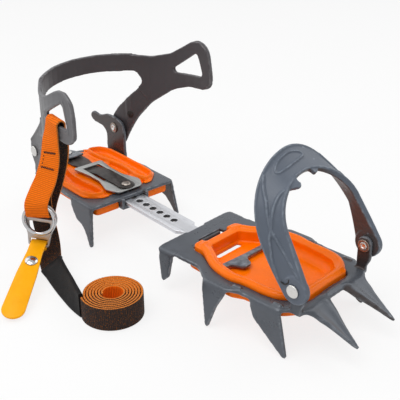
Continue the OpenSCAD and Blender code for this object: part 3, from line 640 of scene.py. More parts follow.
# Coated, moulded and sewn finishes, apart from the colours that a user sets
COATS = {
    "frame coat": dict(
        rough=0.3, patch=0.1, grain=0.00002, wear_and_highlight=0.8, metallic=0.2, specular=0.38,
        # inner is painted shade on the inward faces of the ears and spikes
        inner=(0.052, 0.042, 0.041), flatten=(0, 1, 0)),
    "blackened spring steel": dict(
        colour=(0.02, 0.017, 0.016), worn=(0.1, 0.085, 0.08), rough=0.4, patch=0.25, metallic=0.3),
    # Painted shade for the bar's hole walls and for the hook seen through the slot
    "dark bore": dict(
        colour=(0.05, 0.05, 0.055), worn=(0.12, 0.12, 0.12), rough=0.6, patch=0.2, wear_and_highlight=0.3),
    "orange anti-ball plastic": dict(
        worn=(1.0, 0.24, 0.02), rough=0.24, patch=0.05, grain=0.00001, wear_and_highlight=0.3, grain_scale=900.0,
        specular=0.18),
    "toe cage plastic": dict(
        worn=(0.24, 0.275, 0.32), rough=0.4, patch=0.06, grain=0.00002, wear_and_highlight=0.7,
        # inner is painted shade on faces turned into the cage
        inner=(0.066, 0.053, 0.052), middle=front_space() @ Vector((95.0, 0.0, 75.0)), flatten=(1, 1, 1)),
    "heel cradle plastic": dict(
        worn=(0.3, 0.3, 0.31), rough=0.42, patch=0.07, grain=0.00002, wear_and_highlight=0.35,
        # inner is painted shade on faces turned into the cradle
        inner=(0.058, 0.051, 0.055), middle=bar_space() @ Vector((10.0, 0.0, 0.0))),
    "amber tab plastic": dict(
        worn=(1.0, 0.5, 0.03), rough=0.34, patch=0.06, grain=0.00002, wear_and_highlight=0.2, specular=0.15),
    "sleeve cloth": dict(
        colour=(0.007, 0.0065, 0.007), worn=(0.03, 0.027, 0.027), rough=0.55, patch=0.15, grain=0.00006,
        wear_and_highlight=0.3, grain_scale=2600.0, specular=0.1),
    "bar tack thread": dict(
        colour=(0.016, 0.012, 0.011), worn=(0.06, 0.045, 0.04), rough=0.6, patch=0.3, grain=0.00005,
        wear_and_highlight=0.3),
}
# Bare and plated steels: colour, roughness and stretch of the brushed lines
STEELS = {
    "lever steel": ((0.46, 0.47, 0.46), 0.45, (60.0, 400.0, 400.0)),
    "rivet steel": ((0.66, 0.65, 0.63), 0.36, (300.0, 300.0, 300.0)),
    "pin steel": ((0.34, 0.3, 0.27), 0.34, (300.0, 300.0, 300.0)),
    "copper washer": ((0.3, 0.245, 0.21), 0.42, (300.0, 300.0, 300.0)),
    "buckle chrome": ((0.52, 0.52, 0.53), 0.1, (200.0, 200.0, 200.0)),
    "satin buckle plate": ((0.43, 0.4, 0.385), 0.4, (120.0, 120.0, 500.0)),
}


def coat(name, **colours):
    """A coated, moulded or sewn finish, in colours that a user sets or in its own."""
    return coated_material(name, **COATS[name], **colours)


def steel(name):
    """A bare or plated steel."""
    return brushed_material(name, *STEELS[name])


def frame_coat():
    """The satin coat of both frames."""
    chosen = bpy.context.scene.crampon_steel
    return coat("frame coat", colour=chosen.coat, worn=chosen.worn)


def orange_gloss():
    """The glossy plastic of both anti-ball plates."""
    return coat("orange anti-ball plastic", colour=bpy.context.scene.crampon_plastic.orange)


def strap_webbing():
    """The strap's two-coloured webbing."""
    strap = bpy.context.scene.crampon_strap
    return webbing_material("strap webbing", strap.orange, strap.black, strap.edge)


# Toe cage, in millimetres and degrees: the legs toe in, and the far one is slimmer and slopes more
CAGE_LEG = 30.0
CAGE_HEIGHT = 72.2
CAGE_LEAN = math.radians(25.0)
CAGE_BOW = 5.0
CAGE_TOE_IN = 32.0
CAGE_RISE = 35.0
CAGE_ROLL = 71.0
CAGE_HALF_T = 2.2
CAGE_PLAY = 0.2
CAGE_WIDTHS = {"end": 20.0, "near": 19.5, "top": 21.0, "far": 13.0}
CAGE_FAR_SLOPE = 1.2
CAGE_FAR_SHIFT = 5.0
# Powers that set how soon the band rolls over towards the top, on the near and the far half
CAGE_ROLL_NEAR = 2.0
CAGE_ROLL_FAR = 1.4


def cage_leg_share(f):
    """Nought at a pivot and one from the top of that leg on."""
    return 1.0 + f if f < 0 else min(1.0, 181.0 - f)


def cage_angle(f):
    """Angle round the arch, which stays the same along each leg."""
    return math.radians(max(0.0, min(180.0, f)))


def cage_far_share(f):
    """Nought on the near half, growing to one at the top of the far leg."""
    return max(0.0, (min(180.0, f) - 90.0) / 90.0) * cage_leg_share(f)


def cage_point(f):
    """Middle of the toe cage's band at f: -1 and 181 at the pivots, 0 to 180 degrees round the arch."""
    mid = TOE_EAR_OUT + CAGE_PLAY + CAGE_HALF_T
    v = CAGE_LEG * cage_leg_share(f)
    v += (CAGE_HEIGHT - CAGE_LEG) * math.sin(cage_angle(f)) ** (CAGE_FAR_SLOPE if f > 90 else 1.0)
    bow = CAGE_BOW * math.sin(math.radians(120.0 * v / CAGE_HEIGHT))
    return Vector((TOE_PIVOT[0] - v * math.sin(CAGE_LEAN) - bow, -mid * math.cos(cage_angle(f)),
                   TOE_PIVOT[1] + v * math.cos(CAGE_LEAN)))


def cage_axes(f):
    """Width direction and outward normal of the toe cage's band."""
    rolled = math.sin(cage_angle(f)) ** (CAGE_ROLL_FAR if f > 90 else CAGE_ROLL_NEAR)
    b = math.radians(CAGE_RISE - CAGE_ROLL * rolled)
    turn = math.radians(CAGE_TOE_IN * math.cos(cage_angle(f)) * cage_leg_share(f))
    w = Vector((math.cos(b) * math.cos(turn), math.cos(b) * math.sin(turn), math.sin(b)))
    step = 0.02
    t = (cage_point(min(181.0, f + step)) - cage_point(max(-1.0, f - step))).normalized()
    return w, w.cross(t).normalized()


def cage_half_width(f):
    """Half the band's width at f."""
    leg = CAGE_WIDTHS["far" if f > 90 else "near"]
    wide = CAGE_WIDTHS["end"] + (leg - CAGE_WIDTHS["end"]) * cage_leg_share(f)
    return (wide + (CAGE_WIDTHS["top"] - leg) * math.sin(cage_angle(f))) / 2


def on_cage(f, across, out=0.0):
    """A point on the cage at f, across from -1 at the rear edge to 1 at the front edge."""
    w, n = cage_axes(f)
    return cage_point(f) + w * (across * cage_half_width(f) + CAGE_FAR_SHIFT * cage_far_share(f)) + n * out


def cage_stations():
    """Placing matrices along the cage for a section of unit half sizes."""
    stations = []
    leg = [0.0, 0.25, 0.5, 0.75]
    for f in [-1.0 + s for s in leg] + [i * 4.0 for i in range(46)] + [180.25 + s for s in leg]:
        w, n = cage_axes(f)
        place = placing(w * cage_half_width(f), n * CAGE_HALF_T, w.cross(n), on_cage(f, 0.0))
        stations.append(front_space() @ place)
    return stations


def cage_place(f, across, out):
    """A place on the cage with X round the arch, Y towards the front edge and Z outwards."""
    w, n = cage_axes(f)
    return front_space() @ placing(n.cross(w) * -1.0, w, n, on_cage(f, across, out))


# Section of the cage's band: a hollow outer face between two rounded borders, across and out by half sizes
CAGE_SECTION = [
    (1.0, 0.5), (0.985, 0.86), (0.94, 1.08), (0.87, 1.06), (0.81, 0.86), (0.74, 0.72), (0.4, 0.68),
    (0.0, 0.68), (-0.4, 0.68), (-0.74, 0.72), (-0.81, 0.86), (-0.87, 1.06), (-0.94, 1.08), (-0.985, 0.86),
    (-1.0, 0.5), (-1.0, -0.6), (-0.97, -0.88), (-0.9, -1.0), (0.0, -1.0), (0.9, -1.0), (0.97, -0.88),
    (1.0, -0.6)]
# Crossing ribs and the slit of a leg as (f, across), where a dark bead paints the slit's shade, and the hooks
# as f and (round, in) outlines
CAGE_RIBS = (
    ((55, -0.86), (45, -0.55), (35, -0.24), (22, -0.1), (11, 0.0), (3, 0.14), (-0.15, 0.3), (-0.45, 0.5),
     (-0.85, 0.78)),
    ((47, 0.8), (40, 0.56), (33, 0.4), (24, 0.24), (11, -0.02), (5, -0.27), (-0.1, -0.48), (-0.3, -0.64),
     (-0.7, -0.8)))
CAGE_SLIT_SHADE = ((-0.74, -0.66), (-0.82, -0.46), (-0.82, -0.16), (-0.76, 0.02))
CAGE_HOOKS = (
    (61.0, ((-8, -1.5), (-4.6, 0), (-3.4, 2), (-2.8, 4.6), (-1.4, 5.8), (0.6, 5), (3.4, 2.4), (9, -1.5))),
    (102.0, ((-6, -1.5), (-3, 0.2), (-1, 2.6), (0.8, 3.4), (2.2, 2.8), (3.2, 0.8), (6, -1.5))))
# Oval border of the pad: its middle and half sizes round and across
CAGE_PAD = (80.0, 19.0, -0.18, 0.38)
# Boss round a pivot, as (radius, height)
CAGE_BOSS = ((0.0, 0.0), (9.6, 0.0), (10.0, 0.5), (10.0, 4.2), (9.2, 4.9), (0.0, 4.9))

# Heel cradle: its lean, its arms' place, crease and slope outwards, and the band's round from above
CRADLE_LEAN = -3.0
ARM_Y = 42.2
ARM_CREASE = -66.5
ARM_SLOPE = 19.2 / 41.5
ARM_OUT = (-0.42, 0.907)
BAND_X = 10.0
BAND_REACH = 87.0
BAND_HALF = 66.5
# How far the cradle's solid is drawn in before it is rounded, and its borders' place and radius
CRADLE_DRAWN_IN = 0.8
BORDER_OUT = 1.1
BORDER_RADIUS = 0.95
# Raised borders of a strap ring and of an arm, in the cradle's side view
RING_BORDER = (
    (-58, 129), (-38, 127), (-20, 131), (3, 143.3), (13, 144.3), (20.6, 139), (23, 128), (23.4, 113),
    (14.6, 107), (-2, 106.8), (-16, 103), (-27, 98))
HOLE_BORDER = (
    (9.6, 138.6), (-4, 130.8), (-19.6, 120.6), (-19.4, 115.6), (-10, 114.7), (14, 115.2), (16.6, 117),
    (14.6, 128), (12, 137.6), (9.6, 138.6))
ARM_LINES = (
    ((-79, 44.4), (-71, 46.6), (-63.6, 58.4), (-54, 73), (-41, 87.6), (-32, 94)),
    ((-84.8, 67), (-76, 76.6), (-56, 93.6), (-47.4, 102.6)),
    ((-62, 62), (-56, 80), (-47, 100)),
    ((-72, 77), (-58, 82), (-40, 90)))
# Dimple inside each arm, shown as a dark disc that paints the shade of its recess: its place in the side view
# and inwards, and its (radius, height) profile
DIMPLE_AT = (-60.5, 74.5, -1.4)
CRADLE_DIMPLE = ((0.0, 0.25), (2.9, 0.25), (3.2, 0.1), (3.2, -0.6), (0.0, -0.6))


def cradle_spot(sign, x, z, out, arm=False):
    """A point on the cradle's wall or arm from its side view, out from the middle of its thickness."""
    lean = math.radians(CRADLE_LEAN * sign)
    dx, dz = x - HEEL_PIVOT[0], z - HEEL_PIVOT[1]
    px = HEEL_PIVOT[0] + dx * math.cos(lean) + dz * math.sin(lean)
    pz = HEEL_PIVOT[1] - dx * math.sin(lean) + dz * math.cos(lean)
    if arm:
        y = ARM_Y + max(0.0, ARM_SLOPE * (px - ARM_CREASE))
        n = Vector((*ARM_OUT, 0.0)) if px > ARM_CREASE else Vector((0.0, 1.0, 0.0))
    else:
        behind = min(px, BAND_X) - BAND_X
        y = BAND_HALF * math.sqrt(max(0.0, 1.0 - (behind / BAND_REACH) ** 2))
        n = Vector((behind / BAND_REACH ** 2, y / BAND_HALF ** 2, 0.0)).normalized()
    return Vector((px + n.x * out, sign * (y + n.y * out), pz))


# Front pan: the middle, height and radius of its rounded rim
PAN_RIM = (
    (26.5, -13.6), (28, -19.6), (35, -23), (51, -32.4), (68, -36), (82, -34.2), (97, -33.8), (107, -32),
    (114, -27.4), (118.4, -20), (119.4, -8))
PAN_RIM_Z = 35.4
PAN_RIM_RADIUS = 3.3
# Wall of the pan's bowl, and its hollow slope as (inwards, up) from the foot of the wall
PAN_WALL = (
    (48, -25.5), (54, -28.8), (68, -31.6), (84, -30.6), (97, -29.5), (106, -27.4), (112, -22.6), (115, -16),
    (115.4, -6))
PAN_FILLET = (
    (-1, -1.5), (-1, 5.5), (0.2, 5.0), (0.8, 3.4), (1.8, 2.0), (3.2, 0.9), (5.0, 0.2), (6.5, -0.2),
    (6.5, -1.5))
# Height of the solid's floor and how far it is sunk, and the front wall of the slot and its pull forward
PAN_FLOOR = 30.0
PAN_SINK = 2.0
SLOT_WALL = 35.0
SLOT_HALF = 13.3
SLOT_PULL = 2.0


def fillet_stations():
    """Placing matrices along the pan's wall, with the slope fading out at both rear ends."""
    foot = mirrored_path([(x, y, PAN_FLOOR - PAN_SINK) for x, y in PAN_WALL])
    path = [Vector(p) for p in smooth_path(foot, 5)]
    stations = []
    for i, p in enumerate(path):
        d = heading(path, i)
        k = min(1.0, 0.25 + min(i, len(path) - 1 - i) / 14.0)
        place = placing(Vector((-d.y, d.x, 0.0)) * k, Vector((0.0, 0.0, k)), d, p)
        stations.append(front_space() @ place)
    return stations


# Outline of one raised pod of the heel's anti-ball plate, and the foot and height of its wall
HEEL_POD = (
    (-97, 19), (-96, 27), (-91, 32.5), (-82, 35.4), (-66, 36), (-48, 35.8), (-30, 35.4), (-20, 34.2),
    (-14.5, 31), (-11.5, 26), (-12, 20.5), (-18, 18.6), (-29, 19), (-38, 20.4), (-48, 20.8), (-57, 20),
    (-67, 18.2), (-77, 17), (-88, 16.6))
POD_FOOT = 32.6
POD_WALL = 3.6
# Insets and rises of a pod's top, from its wall over the rim and down into the hollow
POD_STEPS = ((0.6, 1.5), (0.8, 1.0), (0.7, 0.1), (0.6, -1.3), (0.6, -2.2), (0.7, -1.6), (0.9, -0.7))

# Front points: where they bend, how far they drop, and rows of (along, outer, inner, height)
POINT_BEND = 130.0
POINT_DROP = 28.0
POINT_ROWS = (
    (-5, 32.6, 7.4, 0.95), (0.3, 32, 8, 1), (4, 31.2, 8.2, 1), (7, 30.1, 8.9, 1), (11, 28.5, 10.6, 0.98),
    (16, 26.7, 12.7, 0.95), (22, 25.3, 15.2, 0.92), (29, 23.9, 17.6, 0.88), (35.5, 22.7, 19.5, 0.82),
    (38.6, 21.7, 20.5, 0.7))
# Section of a front point from its outer edge to its inner edge: a hollow beside a rounded ridge
POINT_SECTION = [
    (0.0, -1.2), (0.015, -0.3), (0.06, 0.3), (0.14, 0.4), (0.25, 0.1), (0.4, -0.15), (0.54, 0.05),
    (0.64, 0.6), (0.73, 1.1), (0.82, 1.1), (0.9, 0.6), (0.965, -0.2), (1.0, -1.1), (1.0, -2.2),
    (0.96, -2.9), (0.5, -3.0), (0.04, -2.9), (0.0, -2.2)]
# The solid's own points are cut off here, and a rounded lip joins the new ones
POINT_CUT = 132.6
POINT_LIP = ((133.2, -14.4, 32.6), (130.6, -12.6, 33.3), (128.4, -8, 33.4), (127.7, -3, 33.4))
# Outline, underside and thickness of the cross strip
CROSS_STRIP = (
    (49, -25), (53.5, -25), (54.6, -19.5), (58, -17.6), (62, -16.4), (63.8, -14), (63.8, -9), (62, -7),
    (58, -5.6), (55.4, -2), (56, 25), (51.8, 25), (51, -2))
CROSS_Z = 30.0
CROSS_T = 2.0
# Fold lines of the spikes and ears, from and to, on one side of each frame
FRONT_FOLDS = (
    ((2.0, 39.9, 33.5), (16.0, 39.9, 33.5)), ((53.0, 49.0, 33.5), (75.5, 49.0, 33.5)),
    ((92.0, 44.8, 33.5), (117.0, 44.8, 33.5)), ((126.5, 12, 34.0), (126.5, 30, 34.0)),
    ((130.5, 12, 33.8), (130.5, 30, 33.8)), ((134.5, 12, 31.8), (134.5, 30, 31.8)))
HEEL_FOLDS = (
    ((-31, 41.7, 33.5), (-1, 41.7, 33.5)), ((-92, 40, 33.5), (-108, 18, 33.5)),
    ((-90, 39.5, 31.5), (-64, 39.5, 31.5)))


def point_stations(sign):
    """Placing matrices of a front point: from the plate, over the bend and down to the tip."""
    flat = front_space() @ Matrix.Translation((POINT_BEND, 0.0, PLATE_Z))
    stations = []
    for x, outer, inner, k in POINT_ROWS:
        place = placing((0, sign * (inner - outer), 0), (0, 0, k), (1, 0, 0), (x, sign * outer, 0.0))
        stations.append((flat if x < 0 else flat @ rotation(POINT_DROP, "Y")) @ place)
    return stations


def fold_lines(space, folds):
    """Fold lines on both sides of a frame."""
    return [tuple(space @ Vector((x, sign * y, z)) for x, y, z in fold) for sign in SIDES for fold in folds]


# Strap routes, as [x, y, z, turn, lift] in bar millimetres and degrees
STRAP_EYE = (-65.75, 112.8)
STRAP_EYE_RADIUS = 3.45
BUCKLE_FOLD_Z = 51.0
BUCKLE_FOLD_RADIUS = 5.3
# The roll: its middle, outer radius, pitch, turns and first angle, and the height of its middle
ROLL_AT = (89.0, -84.5)
ROLL_RADIUS = 22.0
ROLL_PITCH = 2.1
ROLL_TURNS = 7
ROLL_START = 248.0
ROLL_Z = 8.8


def band_stations(route):
    """Placing matrices and lengths of a band along a route."""
    path = [Vector(q[:3]) for q in route]
    stations = []
    lengths = []
    run = 0.0
    for i, (here, q) in enumerate(zip(path, route)):
        if i:
            run += (here - path[i - 1]).length * MM
        d = heading(path, i)
        turn, lift = math.radians(q[3]), math.radians(q[4])
        v = Vector((math.cos(turn) * math.cos(lift), math.sin(turn) * math.cos(lift), math.sin(lift)))
        u = (v - d * v.dot(d)).normalized()
        stations.append(bar_space() @ placing(u, d.cross(u), d, here))
        lengths.append(run)
    return stations, lengths


def buckle_point(y, z):
    """A strap point in the buckle's plane."""
    a = math.radians(BUCKLE_TURN)
    return [BUCKLE_AT[0] - y * math.sin(a), BUCKLE_AT[1] + y * math.cos(a), z, BUCKLE_TURN, 0.0]


def front_route():
    """The strap from the cradle's ring down to the buckle's fold and back up behind itself."""
    eye_y, eye_z = STRAP_EYE
    points = [[-1, eye_y + STRAP_EYE_RADIUS, 106, -5.6, 0]]
    for a in range(0, 181, 30):
        r = math.radians(a)
        points.append([-1, eye_y + STRAP_EYE_RADIUS * math.cos(r), eye_z + STRAP_EYE_RADIUS * math.sin(r),
                       -5.6, 0])
    points += [[-1, -70, 106, 0, 0], [-0.5, -71.8, 99, 8, 0], [1.8, -75, 86, 19, 0],
               [3.6, -81, 73, 31, 0], [4.8, -86.6, 66, 37, 0], buckle_point(-4.9, 58)]
    for a in range(0, -181, -30):
        r = math.radians(a)
        points.append(buckle_point(-BUCKLE_FOLD_RADIUS * math.cos(r) + 0.3,
                                   BUCKLE_FOLD_Z + BUCKLE_FOLD_RADIUS * math.sin(r)))
    points += [[1.3, -85.7, 61, 42, 0], [1, -79.8, 71, 32, 0]]
    return smooth_path(points, 5)


def tail_route():
    """The strap from the ring's inner side down behind the buckle."""
    return smooth_path([
        [-1, -62.3, 105.8, -5.6, 0], [-1, -61.7, 97, 0, 0], [-1, -65.2, 84, 13, 0], [-1.4, -72.4, 68, 32, 0],
        [-2.6, -79.4, 52, 44.5, 0], [-4, -81.8, 38, 44.5, 0], [-7.4, -78.9, 24, 52, 0],
        [-5, -79.3, 14, 60, 4], [2.6, -83.4, 8, 70, 15], [9.1, -86.73, 5.88, 75, 26],
        [12.3, -87.86, 6.68, 76, 30], [15, -88.8, 7.4, 76.6, 36]], 6)


def sleeve_route():
    """The sleeve over the tail, turning from flat to on edge."""
    return smooth_path([
        [12.4, -87.9, 6.7, 76, 30], [20, -90.6, 8.6, 78, 48], [32, -94.2, 9.3, 78.5, 57],
        [43.5, -97.2, 9.6, 78.5, 63], [54.5, -99.8, 9.9, 78.5, 69], [65, -102.2, 10, 77, 76],
        [73, -103.6, 10, 76, 83], [79.4, -104.6, 10, 72, 90]], 6)


def roll_route():
    """The rolled tail: a flat spiral standing on edge."""
    points = []
    steps = 48
    for i in range(ROLL_TURNS * steps + 1):
        a = 360.0 * i / steps
        r = ROLL_RADIUS - ROLL_PITCH * a / 360.0
        t = math.radians(ROLL_START + a)
        points.append([ROLL_AT[0] + r * math.cos(t), ROLL_AT[1] + r * math.sin(t), ROLL_Z, 0.0, 90.0])
    return points


# Operators, one for each piece or group of like pieces
class CRAMPON_OT_front_frame(bpy.types.Operator):
    """Front frame: stamped plate with bent spikes and two sculpted front points, as one rounded sheet"""

    bl_idname = "crampon.front_frame"
    bl_label = "Front Frame"

    def execute(self, context):
        voxel = context.scene.crampon_steel.voxel / MM
        space = front_space()
        bm = cad_bmesh("front_frame")
        forward = (space.to_3x3() @ Vector((1, 0, 0))).normalized()
        cut(bm, space @ Vector((POINT_CUT, 0, 0)), forward, clear_outer=True)
        bmesh.ops.holes_fill(bm, edges=[e for e in bm.edges if e.is_boundary], sides=0)
        for sign in SIDES:
            sweep(bm, POINT_SECTION, point_stations(sign))
        bead(bm, mirrored_path(POINT_LIP), 1.9, space)
        moulded(bm, "front_frame_sheet", "front_frame", frame_coat(), "front_frame", "frame_steel",
                voxel, FRONT_PASSES[0], fold_lines(space, FRONT_FOLDS), FRONT_PASSES[1])
        bm = bmesh.new()
        tray(bm, CROSS_STRIP, CROSS_T, space @ Matrix.Translation((0, 0, CROSS_Z)))
        ease_edges(bm, 0.5)
        add_piece(bm, "cross_strip", "front_frame", [frame_coat()], ["front_cross_strip"])
        return {"FINISHED"}


class CRAMPON_OT_heel_frame(bpy.types.Operator):
    """Heel frame: stamped plate with spikes, ears and bar lugs"""

    bl_idname = "crampon.heel_frame"
    bl_label = "Heel Frame"

    def execute(self, context):
        voxel = context.scene.crampon_steel.voxel / MM
        moulded(cad_bmesh("heel_frame"), "heel_frame_sheet", "heel_frame", frame_coat(), "heel_frame",
                "frame_steel", voxel, HEEL_PASSES[0], fold_lines(bar_space(), HEEL_FOLDS), HEEL_PASSES[1])
        return {"FINISHED"}


class CRAMPON_OT_anti_ball_plates(bpy.types.Operator):
    """Both glossy orange anti-ball plates, with rounded rims and soft hollows"""

    bl_idname = "crampon.anti_ball_plates"
    bl_label = "Anti-ball Plates"

    def execute(self, context):
        space = front_space()
        bm = cad_bmesh("front_antiball_plate")
        slot_edge = [v for v in bm.verts if self.on_slot(space.inverted() @ v.co)]
        bmesh.ops.translate(bm, verts=slot_edge, vec=space.to_3x3() @ Vector((SLOT_PULL, 0.0, 0.0)))
        for vert in bm.verts:
            if PAN_FLOOR - 3.0 < vert.co.z / MM < PAN_FLOOR + 0.1:
                vert.co.z -= PAN_SINK * MM
        bead(bm, mirrored_path([(x, y, PAN_RIM_Z) for x, y in PAN_RIM]), PAN_RIM_RADIUS, space)
        sweep(bm, PAN_FILLET, fillet_stations())
        moulded(bm, "front_orange_pan", "front_frame", orange_gloss(), "front_antiball_plate",
                "orange_plastic", *PAN_DETAIL)
        bm = cad_bmesh("heel_antiball_plate")
        for vert in bm.verts:
            vert.co.z -= self.sunk(vert.co.z / MM) * MM
        for sign in SIDES:
            outline = [(x, sign * y) for x, y in closed_path(HEEL_POD)]
            tray(bm, outline, POD_WALL, bar_space() @ Matrix.Translation((0, 0, POD_FOOT)), POD_STEPS)
        moulded(bm, "heel_orange_plate", "heel_frame", orange_gloss(), "heel_antiball_plate",
                "orange_plastic", *HEEL_PLATE_DETAIL)
        return {"FINISHED"}

    def sunk(self, z):
        """How far the plate's top, its lip and the ceiling under it go down to make room for hollow pods."""
        return 0.0 if z < 34.9 else 1.5 if 36.5 < z < 37.5 else 5.0

    def on_slot(self, at):
        """True on the front wall of the pan's slot, which is drawn forward to keep it open when rounded."""
        return abs(at.x - SLOT_WALL) < 0.3 and abs(at.y) < SLOT_HALF


class CRAMPON_OT_toe_cage(bpy.types.Operator):
    """Toe cage: a moulded arch with borders, crossing ribs, inner hooks, an oval pad and pivot bosses, and
    dark beads that paint the shade in its slits
    """

    bl_idname = "crampon.toe_cage"
    bl_label = "Toe Cage"

    def execute(self, context):
        space = front_space()
        bm = bmesh.new()
        slit_shade = bmesh.new()
        sweep(bm, CAGE_SECTION, cage_stations())
        for sign in SIDES:
            turned(bm, CAGE_BOSS, space @ along_y(*TOE_PIVOT, sign * TOE_EAR_OUT, sign))
        for far in (False, True):
            for rib in CAGE_RIBS:
                bead(bm, [on_cage(180.0 - f if far else f, a, 1.7) for f, a in rib], 1.15, space)
            # A dark bead along each slit paints its shade
            bead(slit_shade, [on_cage(180.0 - f if far else f, a, 2.45) for f, a in CAGE_SLIT_SHADE], 0.5, space)
        f, half_f, across, half_across = CAGE_PAD
        angles = [math.tau * i / 16 for i in range(17)]
        pad = [on_cage(f + half_f * math.cos(a), across + half_across * math.sin(a), 1.6) for a in angles]
        bead(bm, pad, 0.85, space)
        for f, outline in CAGE_HOOKS:
            tray(bm, outline, 3.3, cage_place(f, 0.97, -1.9))
        finish = coat("toe cage plastic", colour=context.scene.crampon_plastic.cage)
        moulded(bm, "toe_cage_arch", "toe_cage", finish, "toe_cage", "cage_plastic", *CAGE_DETAIL)
        add_piece(slit_shade, "cage_slit_shade", "toe_cage", [coat("blackened spring steel")], ())
        return {"FINISHED"}


class CRAMPON_OT_heel_cradle(bpy.types.Operator):
    """Heel cradle: moulded band with two bordered strap rings on two ribbed arms, and a dark disc in each arm
    that paints the shade of its dimple
    """

    bl_idname = "crampon.heel_cradle"
    bl_label = "Heel Cradle"

    def execute(self, context):
        space = bar_space()
        bm = cad_bmesh("heel_cradle")
        dimple_shade = bmesh.new()
        bm.normal_update()
        for vert in bm.verts:
            vert.co -= vert.normal * CRADLE_DRAWN_IN * MM
        self.bend_arms(bm)
        for sign in SIDES:
            for line, radius, arm in ((RING_BORDER, BORDER_RADIUS, False), (HOLE_BORDER, 0.85, False),
                                      *((line, BORDER_RADIUS, True) for line in ARM_LINES)):
                bead(bm, [cradle_spot(sign, x, z, BORDER_OUT, arm) for x, z in line], radius, space)
            at = Matrix.Translation(cradle_spot(sign, *DIMPLE_AT, True))
            facing = Vector((-ARM_OUT[0], -ARM_OUT[1] * sign, 0.0)).to_track_quat("Z", "Y")
            turned(dimple_shade, CRADLE_DIMPLE, space @ at @ facing.to_matrix().to_4x4())
        finish = coat("heel cradle plastic", colour=context.scene.crampon_plastic.cradle)
        moulded(bm, "heel_cradle_band", "heel_cradle", finish, "heel_cradle", "cradle_plastic",
                *CRADLE_DETAIL)
        # Painted shade: the dimple discs take a near-black finish
        add_piece(dimple_shade, "cradle_dimple_shade", "heel_cradle", [coat("blackened spring steel")], ())
        return {"FINISHED"}

    def bend_arms(self, bm):
        """Turns the crease where each arm leaves its pivot into an even bend."""
        reach = 14.0
        for k in range(-4, 5):
            cut(bm, bar_space() @ Vector((ARM_CREASE + k * reach / 4, 0.0, 0.0)), (1.0, 0.0, 0.0))
        for vert in bm.verts:
            at = bar_space().inverted() @ vert.co
            off = abs(at.x - ARM_CREASE)
            if at.z < 92.0 and off < reach:
                vert.co.y += math.copysign(ARM_SLOPE * (reach - off) ** 2 / (4 * reach), at.y) * MM


class CRAMPON_OT_bar_and_lock(bpy.types.Operator):
    """Adjustment bar, spring clamp, leaf spring and lever"""

    bl_idname = "crampon.bar_and_lock"
    bl_label = "Bar and Lock"

    # Middle of the bar's first hole, and the pitch and count of its holes
    HOLE_START = -64.1
    HOLE_PITCH = 9.0
    HOLE_COUNT = 14

    def execute(self, context):
        bar = brushed_material("rolled bar steel", context.scene.crampon_steel.bar, 0.42)
        spring = coat("blackened spring steel")
        for node, name, body, material, slot, width in (
                ("adjust_bar", "adjustment_bar", "adjust_bar", bar, "bright_steel", 0.3),
                ("spring_clamp", "spring_clamp_tab", "heel_frame", frame_coat(), "frame_steel", 0.35),
                ("leaf_spring", "leaf_spring_strip", "lock", spring, "black_steel", 0.25),
                ("lock_lever", "lock_lever_plate", "lock", steel("lever steel"), "bright_steel", 0.3)):
            bm = cad_bmesh(node)
            ease_edges(bm, width)
            if node == "adjust_bar":
                self.paint_bore_shade(bm)
            add_piece(bm, name, body, [material, coat("dark bore")], [node])
        return {"FINISHED"}

    def paint_bore_shade(self, bm):
        """Paints shade into the walls of the row of holes, and onto the hook under the front frame, as a dark
        material.
        """
        for face in bm.faces:
            centre = bar_space().inverted() @ face.calc_center_median()
            along = centre.x - self.HOLE_START
            step = round(along / self.HOLE_PITCH)
            reach = math.hypot(along - self.HOLE_PITCH * step, centre.y)
            bore = 0 <= step < self.HOLE_COUNT and reach < 3.0 and abs(face.normal.z) < 0.9
            # Painted shade: the bore walls and the hook take the dark material
            if bore or centre.x > FRAME_GAP + 2.0:
                face.material_index = 1


